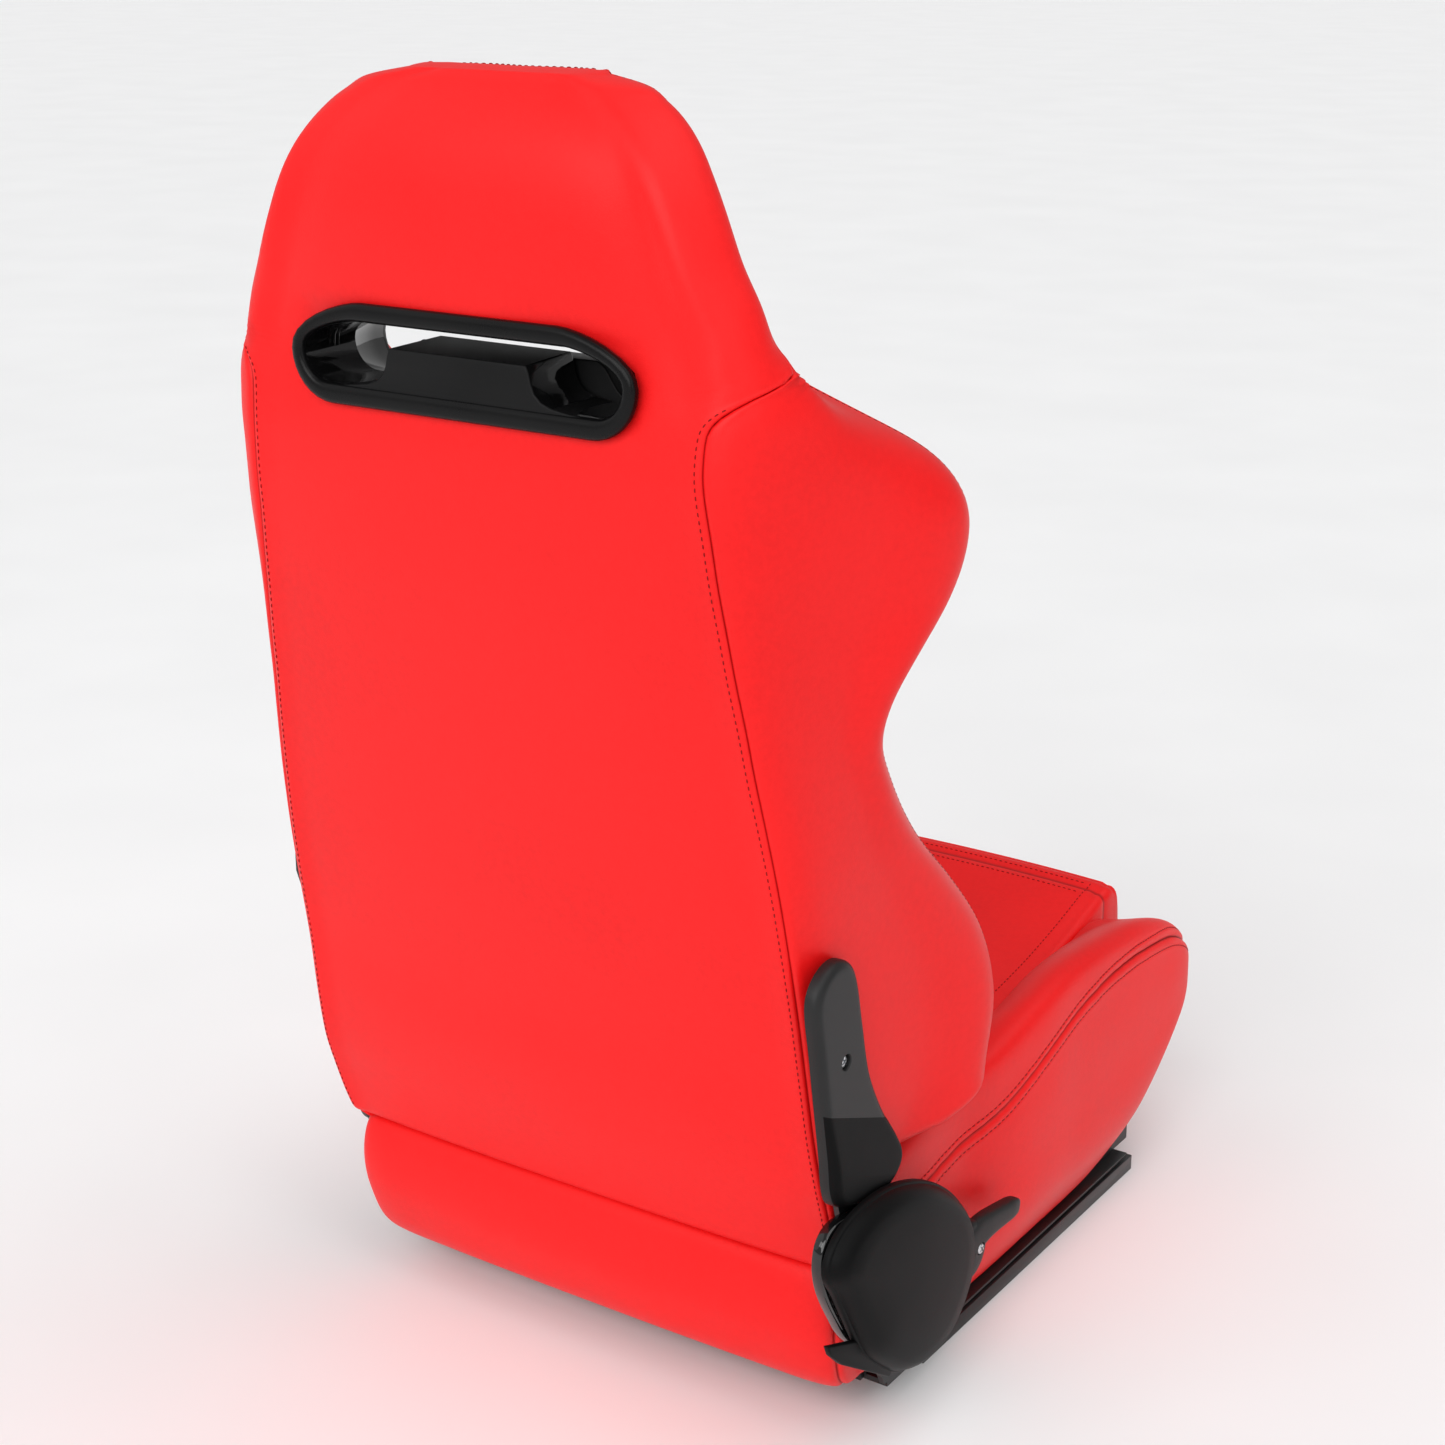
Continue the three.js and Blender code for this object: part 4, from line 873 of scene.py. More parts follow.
# ------------------------------------------------------------------- cushion
SEAT = [
    [76, 24, 206, 211, 110, 206, 184, 178, 182, 158], [100, 24, 206, 211, 112, 207, 194, 178, 190, 158],
    [124, 24, 206, 212, 114, 208, 201, 179, 196, 159], [165, 22, 206, 212.5, 116, 210, 211, 180, 205, 162],
    [180, 21, 206, 213.4, 117, 212, 214, 181, 208, 163], [213, 20, 206, 220, 118, 217, 219, 182, 212, 166],
    [253, 19, 206, 226, 120, 220, 228, 184, 218, 170], [293, 19, 206, 228, 122, 221, 236, 185, 222, 175],
    [338, 19, 206, 228, 124, 221, 242, 185, 231, 181], [378, 19, 206, 229, 126, 221, 243, 185, 233, 187],
    [425, 22, 206, 230, 130, 221, 240, 185, 231, 194], [473, 38, 208, 230, 136, 221, 234, 185, 225, 200],
    [505, 62, 209, 229, 144, 220, 225, 184, 217, 205], [535, 90, 209, 227, 152, 218, 213, 184, 208, 190],
    [555, 108, 208, 224, 156, 215, 203, 184, 199, 182], [570, 122, 206, 219, 158, 211, 193, 184, 189, 174],
    [580, 133, 203, 214, 159, 206, 184, 183, 180, 167], [586, 142, 199, 208, 160, 201, 176, 182, 172, 162],
]
SEAM_Z = [[76, 145], [134, 151], [179, 160], [225, 170], [288, 192], [351, 210], [426, 218], [483, 214], [534, 203], [570, 184], [586, 172]]
ST = Table(SEAT, 6.0, keep_end=30)


def seat_ctrl(f):
    v = ST(f)
    zb, x0, xs, zs, xc, zc, xi, zi, zp = [v[:, k] for k in range(9)]
    C = np.full_like(zb, 150.6)
    return np.stack([np.stack(p, -1) for p in [
        (C, zb + 4), ((C + x0) / 2, zb), (x0 - 5, zb), (x0, zb + 5), (xs - 2, (zb + zs) / 2), (xs, zs), (xs - 1, (zs + zc) / 2),
        (xc, zc - 5), (xc - 9, zc), (xi, zi), (C + 9, zp + 6), (C, zp - 4)]], 1)


def closed_loft(name, rings, centre_a, centre_b, mat, seam=None, weld=0.00002):
    """Rings (R, C, 3) closed round each row, with a fan at each end."""
    R, C, _ = rings.shape
    V = np.concatenate([rings.reshape(-1, 3), [centre_a, centre_b]])
    F = []
    for r in range(R - 1):
        for c in range(C):
            d = (c + 1) % C
            F.append((r * C + c, r * C + d, (r + 1) * C + d, (r + 1) * C + c))
    for c in range(C):
        d = (c + 1) % C
        F.append((R * C, d, c))
        F.append((R * C + 1, (R - 1) * C + c, (R - 1) * C + d))
    # the seam attribute is a painted shade mask for the seam creases; the end fans get none
    s = np.zeros(len(V)) if seam is None else np.concatenate([seam.ravel(), [0, 0]])
    return mesh_object(name, world(V), F, mat, attrs={"seam": s}, weld=weld)


def ring_columns(ctrl_row, u0, n, d_near):
    """Distances and u round a closed section, starting at the seam u0, dense beside it."""
    K = ctrl_row.shape[0]
    uu = (u0 + np.linspace(0, K, 481)) % K
    p = hermite(np.tile(ctrl_row, (481, 1, 1)), uu, closed=True)
    s = np.concatenate([[0], np.cumsum(np.linalg.norm(np.diff(p, axis=0), axis=1))])
    L = s[-1]
    d = np.concatenate([d_near, np.linspace(d_near[-1], L - d_near[-1], n + 2)[1:-1], L - d_near[:0:-1]])
    u = np.interp(d, s, np.linspace(0, K, 481))
    return (u0 + u) % K, d, L


def build_thighs():
    fl = np.concatenate([np.arange(76, 500, 5.0), np.arange(500, 566, 3.0), 586 - 20 * (1 - np.sin(np.linspace(0, math.pi / 2, 12)))])
    sz = Table(SEAM_Z, 12.0)
    ctrl = seat_ctrl(fl)
    P, D = [], []
    for r, f in enumerate(fl):
        uu = np.linspace(5.0, 7.6, 261)
        zz = hermite(np.tile(ctrl[r], (261, 1, 1)), uu, closed=True)[:, 1]
        us = float(uu[np.argmin(np.abs(zz - sz(np.array([f]))[0, 0]))])
        u, d, L = ring_columns(ctrl[r], us, 86, NEAR)
        q = hermite(np.tile(ctrl[r], (len(u), 1, 1)), u, closed=True)
        P.append(np.column_stack([q[:, 0], np.full(len(u), f), q[:, 1]]))
        D.append(np.minimum(d, L - d))
    P, D = np.array(P), np.array(D)
    # rounded nose
    c = P[-1].mean(0)
    nose, nd = [], []
    for t in (0.12, 0.26, 0.42, 0.58, 0.74, 0.88, 0.96):
        k = math.cos(t * math.pi / 2)
        q = c + (P[-1] - c) * [k, 0, k] + [0, 5.5 * math.sin(t * math.pi / 2), -5 * t]
        nose.append(q)
        nd.append(D[-1] * k)
    P = np.concatenate([P, nose], 0)
    D = np.concatenate([D, nd], 0)
    rear = P[0].mean(0)
    Pw = np.concatenate([P, P[:, :1]], 1)
    N = normals(Pw)[:, :-1]
    mid = P.mean(axis=1, keepdims=True)
    if np.sum((P - mid) * N) < 0:
        N = -N
    f = P[..., 1]
    disp = valley(D, 2.2, 1.6) * smooth01((f - 76) / 20)
    disp += 1.5 * (1 - np.exp(-D / 30))
    # faint drag lines beside the crest seam
    disp += 0.28 * np.sin(f / 21 + P[..., 2] / 17) * np.exp(-((D - 18) / 12) ** 2)
    side = np.clip((P[..., 0] - 150.6) / 8, 0, 1)
    disp *= side
    bottom = np.clip((P[..., 2] - 40) / 30, 0, 1)
    disp = np.where(D < 17, disp, disp * bottom)
    # painted shade mask: darkens the colour in the crest seam crease
    seam = np.clip(1 - D / 1.6, 0, 1)
    O = P + N * disp[..., None]
    for name, s in (("thigh_bolster_right", -1), ("thigh_bolster_left", 1)):
        tip = (O[-1].mean(0) + [0, 0.4, 0]) * [s, 1, 1]
        back = O[0].mean(0) * [s, 1, 1]
        ob = closed_loft("cushion_" + name, O * [s, 1, 1], back, tip, RED, seam)
        auto_smooth(ob, 60)
        finish_piece(ob, "seat_base", "cover", name, pad=0.85)
        for c in (8, P.shape[1] - 8):
            n = len(fl) + 3
            SEAT_ST.row(O[3:n, c] * [s, 1, 1], N[3:n, c] * [s, 1, 1], r=0.45)


build_thighs()

PAD = [
    [82, 126, 152], [124, 122, 156], [200, 120, 162], [293, 120, 171], [378, 120, 184], [440, 116, 194],
    [473, 104, 201], [505, 76, 209], [530, 54, 216], [552, 58, 221], [566, 84, 220], [574, 130, 208], [576, 160, 190],
]
PT = Table(PAD, 5.0, keep_end=30)


def build_pad():
    fl = np.concatenate([np.arange(82, 520, 6.0), np.arange(520, 560, 2.5), 576 - 16 * (1 - np.sin(np.linspace(0, math.pi / 2, 12)))])
    v = PT(fl)
    H = 149.6
    P = []
    for f, (lo, hi) in zip(fl, v):
        t = hi - lo
        e = min(9.0, t * 0.35)
        top = [(x, hi + 4.5 * (1 - (x / H) ** 2) ** 0.8 - 1.5) for x in np.linspace(-H + e, H - e, 61)]
        rr = [(H - e + e * math.sin(a), hi - 1.5 - e + e * math.cos(a)) for a in np.linspace(0.2, math.pi / 2, 7)]
        rl = [(-x, z) for x, z in reversed(rr)]
        bot = [(x, lo + 3) for x in np.linspace(H - 2, -H + 2, 31)]
        ring = top + rr + [(H, (lo + hi) / 2)] + bot + [(-H, (lo + hi) / 2)] + rl
        P.append([(x, f, z) for x, z in ring])
    P = np.array(P)
    Pw = np.concatenate([P, P[:, :1]], 1)
    N = normals(Pw)[:, :-1]
    mid = P.mean(axis=1, keepdims=True)
    if np.sum((P - mid) * N) < 0:
        N = -N
    top = P[..., 2] > (v[:, 1] - 14)[:, None]
    # painted shade mask: darkens the colour in the sewn cross channel
    seam = np.zeros(P.shape[:2])
    disp = np.zeros(P.shape[:2])
    x, f = P[..., 0], P[..., 1]
    for fc in (548,):
        g = np.abs(f - fc)
        disp -= 1.8 * np.exp(-(g / 3.4) ** 1.3) * top
        seam = np.maximum(seam, np.clip(1 - g / 2.2, 0, 1) * top)
    disp += 1.2 * np.exp(-((f - 325) / 60) ** 2) * top
    # pulled in all the way along the side seams
    e = H - np.abs(x)
    disp -= 1.4 * np.exp(-((e - 9) / 1.6) ** 2) * top
    O = P + N * disp[..., None]
    tip = O[-1].mean(0) + [0, 1.0, 0]
    ob = closed_loft("cushion_centre_pad", O, O[0].mean(0), tip, RED, seam)
    auto_smooth(ob, 60)
    finish_piece(ob, "seat_base", "cover", "seat_centre_pad", pad=0.8)
    for c in (2, 58):
        SEAT_ST.row(O[2:-12, c], N[2:-12, c], length=3.0, gap=1.9, r=0.4)
    for fc in (548,):
        for df in (-7, 7):
            r = int(np.argmin(np.abs(fl - fc - df)))
            SEAT_ST.row(O[r, 3:58], N[r, 3:58], length=3.0, gap=1.9, r=0.4)


build_pad()


def build_skirt():
    """Rear skirt of the cushion: a padded apron round the back of the seat, up to the hem of the backrest."""
    rows = [  # z, rear fwd, half width
        (31, 56, 196), (30.5, 46, 199), (31, 37, 202), (32.5, 29, 205), (36, 21.5, 207.5), (41.5, 15, 209.8), (48, 10, 211.3), (56, 6, 212.6), (66, 2.6, 213.6), (76, -0.4, 214.2), (86, -3, 215),
        (97, -4.8, 215.6), (108, -5.4, 216), (119, -4.6, 216), (128, -2.6, 215.6), (135, 0.2, 214.8), (140, 4, 213.5), (142.5, 9, 211), (142, 15, 207), (139, 20, 203)]
    T = np.array(rows, float)
    k = np.linspace(0, len(rows) - 1, 64)
    R = np.stack([np.interp(k, np.arange(len(rows)), T[:, i]) for i in range(3)], 1)
    for _ in range(3):
        R[1:-1] = (R[:-2] + 2 * R[1:-1] + R[2:]) / 4
    P, DC = [], []
    for z, f, h in R:
        sec = [(0.0, f - 3.0), (h * 0.35, f - 2.8), (h * 0.7, f - 1.8), (h - 22, f - 0.2), (h - 9, f + 2.6), (h - 2.5, f + 8.5), (h, f + 17), (h, max(f + 26, 44)), (h - 0.5, max(f + 40, 56))]
        Q = np.array([sec])
        uu = np.linspace(0, 8, 400)
        p = hermite(np.repeat(Q, 400, 0), uu)
        s = np.concatenate([[0], np.cumsum(np.linalg.norm(np.diff(p, axis=0), axis=1))])
        sc = np.interp(5.0, uu, s)           # corner seam
        d = np.concatenate([np.linspace(0, sc - 17, 34)[:-1], sc - NEAR[::-1], sc + NEAR[1:], np.linspace(sc + 17, s[-1], 7)[1:]])
        u = np.interp(d, s, uu)
        q = hermite(np.repeat(Q, len(u), 0), u)
        P.append(np.column_stack([q, np.full(len(u), z)]))
        DC.append(np.abs(d - sc))
    P, DC = np.array(P), np.array(DC)
    N = outward(P, normals(P))
    if (N[len(N) // 2, 0, 1]) > 0:
        N = -N
    x, z = np.abs(P[..., 0]), P[..., 2]
    disp = soft_valley(DC, 2.0, 1.8)
    disp += 1.4 * np.exp(-((z - 92) / 34) ** 2) * (1 - np.exp(-DC / 30))
    # gentle slack of the apron
    disp += 0.45 * np.sin(x / 31 + 0.6) * np.exp(-((z - 80) / 30) ** 2)
    # painted shade mask: darkens the colour in the corner seam crease
    seam = np.clip(1 - DC / 1.5, 0, 1) * 0.9
    Pf, Nf, disf, seamf = mirror_full(P, N, disp, seam)
    ob = shell("cushion_rear_skirt", Pf, Nf, disf, 7.0, RED, seamf)
    auto_smooth(ob, 60)
    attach(ob, "seat_base")
    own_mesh(ob)
    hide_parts("seat_rear_skirt")


build_skirt()
SEAT_ST.build("cushion_stitching", "seat_base", "cover")


# ------------------------------------------------------------- harness bezels
def loft_rings(name, rings, mat, mats=None, close_ends=False, closed_path=True):
    """Skin through equal rings; closed_path joins the last ring to the first (a closed section)."""
    n, k = len(rings), len(rings[0])
    V = [p for r in rings for p in r]
    F, mi = [], []
    for i in range(n if closed_path else n - 1):
        j = (i + 1) % n
        for c in range(k):
            d = (c + 1) % k
            F.append((i * k + c, i * k + d, j * k + d, j * k + c))
            mi.append(0 if mats is None else mats[i])
    ob = mesh_object(name, world(V), F, mat)
    if mats is not None:
        return ob, mi
    return ob


def bezel(name, spec, mat):
    """spec rows: half, z0, z1, chamfer, fwd."""
    rings = [[(x, f, z) for x, z in stadium(h, z0, z1, ch, 16)] for h, z0, z1, ch, f in spec]
    return loft_rings(name, rings, mat)


def plate_solid(name, outline_a, fa, outline_b, fb, mat, width=1.4):
    k = len(outline_a)
    V = [(x, fa, z) for x, z in outline_a] + [(x, fb, z) for x, z in outline_b]
    F = [tuple(range(k)), tuple(range(2 * k - 1, k - 1, -1))] + [(i, k + i, k + (i + 1) % k, (i + 1) % k) for i in range(k)]
    ob = mesh_object(name, world(V), F, mat, smooth=False)
    bevel(ob, width, 3, 25)
    return ob


def spline_closed(pts, n, corner=None):
    """Smooth closed outline through (a, b) points."""
    Q = np.array([pts], float)
    K = len(pts)
    uu = np.linspace(0, K, 2001)[:-1]
    p = hermite(np.repeat(Q, len(uu), 0), uu, closed=True)
    q = np.concatenate([p, p[:1]])
    s = np.concatenate([[0], np.cumsum(np.linalg.norm(np.diff(q, axis=0), axis=1))])
    u = np.interp(np.linspace(0, s[-1], n + 1)[:-1], s, np.concatenate([uu, [K]]))
    return hermite(np.repeat(Q, n, 0), u % K, closed=True)


def build_bezels():
    R = [
        (135.2, 723.8, 789.2, 26, -105.8), (135.6, 723.4, 789.6, 26, -107.6), (135.5, 723.5, 789.5, 26, -109.2), (134.8, 724.2, 788.8, 26, -110.7),
        (133.4, 725.6, 787.4, 25.6, -111.7), (131.6, 727.4, 785.6, 25.2, -112.2), (129.6, 731.0, 782.4, 24.6, -112.3), (128.2, 733.6, 780.4, 24, -112.0),
        (127.2, 735.2, 779.0, 23.4, -111.2), (126.4, 736.3, 777.9, 23, -109.8), (125.9, 737.0, 777.2, 22.6, -107.5), (125.4, 737.3, 777.0, 22, -100),
        (124.8, 737.5, 777.0, 20, -85), (124.6, 737.3, 777.2, 18, -62), (127.0, 734.5, 779.4, 18, -62), (128.4, 732.0, 781.4, 20, -85), (129.5, 730.0, 783.2, 22, -105.8),
    ]
    flange = bezel("bezel_rear_ring", R, BEZEL)
    flange.data.materials.append(GLOSS)
    auto_smooth(flange, 40)
    me = flange.data
    for p in me.polygons:
        c = p.center
        if (FWD0 - c.y * 1000) > -107.4 and abs(c.x) < 0.1262 and 0.7365 < c.z < 0.7782:
            p.material_index = 1
    # centre plate between the two wells: narrow above, spreading along the lower lip
    half = [(54, 763.5), (56.2, 758), (57.6, 752), (60, 746.5), (65, 742), (73, 739.2), (86, 737.4), (100, 736.2)]
    out = [(-x, z) for x, z in half] + [(-100, 733.5), (100, 733.5)] + [(x, z) for x, z in reversed(half)]
    outb = [(x * 0.97, z + 1.6 if z > 760 else z) for x, z in out]
    plate = plate_solid("bezel_rear_plate", out, -109.6, outb, -61, BEZEL_MATTE, 1.2)
    plate.data.materials.append(GLOSS)
    for p in plate.data.polygons:
        if abs(p.normal.y) < 0.5 and FWD0 - p.center.y * 1000 > -108.2 and abs(p.normal.x) > 0.25:
            p.material_index = 1
    # moulded step inside each well
    parts = [flange, plate]
    for s in (-1, 1):
        w = [(s * 124.2, 757), (s * 123.2, 765), (s * 119, 771.5), (s * 111, 775.6), (s * 100, 776.6)]
        rim = w + [(x * 0.985 - s * 0.2, z - 2.4) for x, z in reversed(w)]
        if s > 0:
            rim = rim[::-1]
        parts.append(plate_solid("well_rib", rim, -84, rim, -80, GLOSS, 0.4))
        v = [(s * 59, 738.5), (s * 66, 741), (s * 66, 745), (s * 60, 748)]
        if s < 0:
            v = v[::-1]
    rear = join("harness_slot_rear_trim", parts)
    finish_piece(rear, "backrest", "bezel_plastic", "harness_slot_rear_bezel")

    Fr = [
        (158.0, 714.0, 793.0, 20, -13.6), (158.3, 713.7, 793.3, 20, -12.2), (158.2, 713.8, 793.2, 20, -10.6), (157.2, 714.8, 792.2, 20, -9.1),
        (155.2, 716.8, 790.2, 20, -8.3), (151, 721, 785.8, 19, -8.0), (147.5, 724.4, 781.6, 18, -8.2), (145.2, 726.4, 779.2, 17.5, -9.0),
        (143.8, 727.6, 777.7, 17, -10.6), (143.0, 728.2, 777.0, 16.6, -14), (141.5, 729.0, 777.0, 16, -24), (138.5, 731.0, 777.0, 15, -36), (127.2, 736.6, 777.0, 15, -59.2),
        (131.5, 733.0, 780.2, 15, -59.2), (142, 727.6, 781.0, 16, -36), (147, 724, 782.4, 18, -20), (150, 722, 785, 18, -13.6),
    ]
    fl = bezel("bezel_front_ring", Fr, BEZEL)
    fl.data.materials.append(GLOSS)
    auto_smooth(fl, 40)
    for p in fl.data.polygons:
        if FWD0 - p.center.y * 1000 < -13 and FWD0 - p.center.y * 1000 > -59 and p.center.z > 0.7285 and abs(p.center.x) < 0.1432:
            p.material_index = 1
    half = [(70, 760.6), (76, 757), (80, 751), (85, 744), (93, 737), (104, 731.5), (118, 728.6)]
    out = [(-x, z) for x, z in half] + [(-118, 725.5), (118, 725.5)] + [(x, z) for x, z in reversed(half)]
    outf = [(x, z - 7 * smooth01((z - 735) / 20)) for x, z in out]
    pl = plate_solid("bezel_front_plate", out, -59.0, outf, -10.5, BEZEL_MATTE, 1.2)
    front = join("harness_slot_front_trim", [fl, pl])
    finish_piece(front, "backrest", "bezel_plastic", "harness_slot_front_bezel")


build_bezels()

# ---------------------------------------------------------- recliner mouldings
HOOD = [[-63, 183], [-59, 196], [-48, 206], [-30, 212], [-6, 214], [20, 211], [56, 199], [86, 182], [108, 164], [123, 146],
        [131, 125], [130, 100], [117, 76], [93, 57], [62, 52], [32, 60], [4, 80], [-14, 98], [-33, 130], [-50, 160]]
TAIL = [[-20, 113], [-60, 129], [-56, 120], [-42, 106], [-10, 84], [22, 62], [34, 70], [10, 96]]
DRUM = [[-20, 108], [-38, 134], [-54, 164], [-58, 184], [-54, 199], [-42, 207], [-14, 205], [18, 201], [46, 196.5], [72, 186], [90, 165], [92, 138],
        [82, 108], [62, 86], [36, 78], [10, 84]]
ARM_COVER = [[-63, 372], [-56, 384], [-43, 391], [-30, 391], [-19, 385], [-12, 373], [-4, 340], [6, 300], [22, 268], [44, 236], [50, 224], [47, 214],
             [20, 201], [-8, 206], [-34, 217], [-40, 228], [-44, 255], [-57, 330]]
SCREW = (-27, 319)


def inset(outline, d):
    """Dense closed outline moved inward by d along its normals, without crossing itself."""
    o = np.asarray(outline, float)
    t = np.roll(o, -1, 0) - np.roll(o, 1, 0)
    n = np.column_stack([-t[:, 1], t[:, 0]])
    n /= np.maximum(np.linalg.norm(n, axis=1, keepdims=True), 1e-9)
    area = 0.5 * np.sum(o[:, 0] * np.roll(o[:, 1], -1) - np.roll(o[:, 0], -1) * o[:, 1])
    if area < 0:
        n = -n
    q = o + n * d
    if d > 2:
        for _ in range(int(d)):
            q = (np.roll(q, 1, 0) + 2 * q + np.roll(q, -1, 0)) / 4
    return q


def dome(name, outline, rows, side, mat, centre=None, n=120, face=None):
    """Moulding: rings (inset mm or scale, x height) from the open edge to the middle of the face."""
    o = spline_closed(outline, n)
    c = np.array(centre if centre is not None else o.mean(0))
    rings = []
    for kind, a, x in rows:
        p = inset(o, a) if kind == "i" else c + (o - c) * a
        xx = np.full(len(p), float(x))
        if face is not None:
            xx = xx + face(p, x)
        rings.append([(side * X, f, z) for X, (f, z) in zip(xx, p)])
    k = len(rings[0])
    V = [p for r in rings for p in r]
    F = []
    for i in range(len(rings) - 1):
        for j in range(k):
            d = (j + 1) % k
            F.append((i * k + j, i * k + d, (i + 1) * k + d, (i + 1) * k + j))
    base = len(V)
    last = np.array(rings[-1]).mean(0)
    first = np.array(rings[0]).mean(0)
    V += [tuple(last), tuple(first)]
    for j in range(k):
        d = (j + 1) % k
        F.append((base, (len(rings) - 1) * k + d, (len(rings) - 1) * k + j))
        F.append((base + 1, j, d))
    return mesh_object(name, world(V), F, mat)


def build_hood():
    tail = lambda p, x: np.zeros(len(p))
    rows = [("s", 0.30, 252.5), ("s", 0.62, 251.5), ("i", 8, 249), ("i", 3.4, 246), ("i", 2.4, 242.2), ("i", 0.9, 241.8), ("i", 0.1, 242.3), ("i", 0.0, 244.5), ("i", 0.4, 246.4),
            ("i", 1.3, 247.4), ("i", 1.9, 247.6), ("i", 2.2, 248.6), ("i", 3.2, 251.0), ("i", 5.0, 253.6), ("i", 7.6, 256.2), ("i", 11, 258.6)]
    o = spline_closed(HOOD, 132)
    c = np.array([36.0, 134.0])
    base = inset(o, 11)
    ob_rows = []
    for kind, a, x in rows:
        p = inset(o, a) if kind == "i" else c + (o - c) * a
        ob_rows.append([(-x, f, z) for f, z in p])
    for k, x in ((0.86, 260.2), (0.7, 261.6), (0.52, 262.5), (0.34, 263.0), (0.17, 263.3), (0.06, 263.35)):
        p = c + (base - c) * k
        # blend towards an ellipse so that the dome is even
        th = np.arctan2(p[:, 1] - c[1], p[:, 0] - c[0])
        r = np.hypot(p[:, 0] - c[0], p[:, 1] - c[1])
        ell = np.column_stack([c[0] + r.mean() * np.cos(th), c[1] + r.mean() * np.sin(th)])
        w = 1 - k
        p = p * (1 - w) + ell * w
        ob_rows.append([(-x, f, z) for f, z in p])
    k = len(ob_rows[0])
    V = [p for r in ob_rows for p in r]
    F = []
    for i in range(len(ob_rows) - 1):
        for j in range(k):
            d = (j + 1) % k
            F.append((i * k + j, i * k + d, (i + 1) * k + d, (i + 1) * k + j))
    b = len(V)
    V += [(-263.4, c[0], c[1]), (-252.6, c[0], c[1])]
    for j in range(k):
        d = (j + 1) % k
        F.append((b, (len(ob_rows) - 1) * k + d, (len(ob_rows) - 1) * k + j))
        F.append((b + 1, j, d))
    dm = mesh_object("hood_dome", world(V), F, MOULD)
    auto_smooth(dm, 48)
    tk = len(TAIL)
    tv = [(-242.2, f, z) for f, z in TAIL] + [(-247.0, f, z) for f, z in TAIL]
    tf = [tuple(range(tk)), tuple(range(2 * tk - 1, tk - 1, -1))] + [(i, (i + 1) % tk, tk + (i + 1) % tk, tk + i) for i in range(tk)]
    tl = mesh_object("hood_tail", world(tv), tf, MOULD, smooth=False)
    bevel(tl, 1.2, 3, 25)
    ob = join("recliner_hood_shell", [dm, tl])
    finish_piece(ob, "seat_base", "cover_plastic", "recliner_hood")

    # drum cover: glossy plate with a raised rim and a round opening for the spring
    o = spline_closed(DRUM, 120)
    hole = np.array([[40 + 42 * math.cos(a), 138 + 42 * math.sin(a)] for a in np.linspace(0, 2 * math.pi, 121)[:-1]])
    # match the starting angle of the outline
    ang = np.arctan2(o[:, 1] - 138, o[:, 0] - 40)
    hole = np.column_stack([40 + 42 * np.cos(ang), 138 + 42 * np.sin(ang)])
    def between(t):
        return o * (1 - t) + hole * t
    R = [(inset(o, 0.6), 231.5), (inset(o, 0), 232.6), (inset(o, 0), 237.6), (inset(o, 0.5), 239.0), (inset(o, 1.6), 239.8), (inset(o, 3.2), 239.9), (inset(o, 4.6), 239.2), (inset(o, 5.6), 238.4)]
    R += [(inset(o, 5.6) * (1 - t) + hole * t, 238.4) for t in (0.35, 0.7)]
    R += [(hole + (hole - [40, 138]) * 0.05, 238.4), (hole + (hole - [40, 138]) * 0.02, 239.3), (hole * 1.0, 239.3), (hole, 232.5), (hole, 231.6)]
    rings = [[(-x, f, z) for f, z in p] for p, x in R]
    ob = loft_rings("recliner_drum_plate", rings, GLOSS)
    auto_smooth(ob, 40)
    finish_piece(ob, "backrest", "gloss_plastic", "recliner_drum_cover")

    # left hinge cover: plain round cap
    circ = [[40 + 18 * math.cos(a), 138 + 18 * math.sin(a)] for a in np.linspace(0, 2 * math.pi, 25)[:-1]]
    ob = dome("left_hinge_cap", circ, [("s", 0.5, 237), ("s", 0.84, 236.6), ("s", 0.88, 232), ("s", 0.96, 231.5), ("s", 1.0, 232.0), ("s", 1.0, 235.4), ("s", 0.985, 236.8), ("s", 0.94, 238.0), ("s", 0.87, 238.6),
                                       ("s", 0.8, 238.8), ("s", 0.76, 238.4), ("s", 0.72, 238.3), ("s", 0.45, 238.9), ("s", 0.2, 239.1)], 1, MOULD, centre=(40, 138), n=72)
    auto_smooth(ob, 40)
    finish_piece(ob, "backrest", "cover_plastic", "left_hinge_cover")


build_hood()


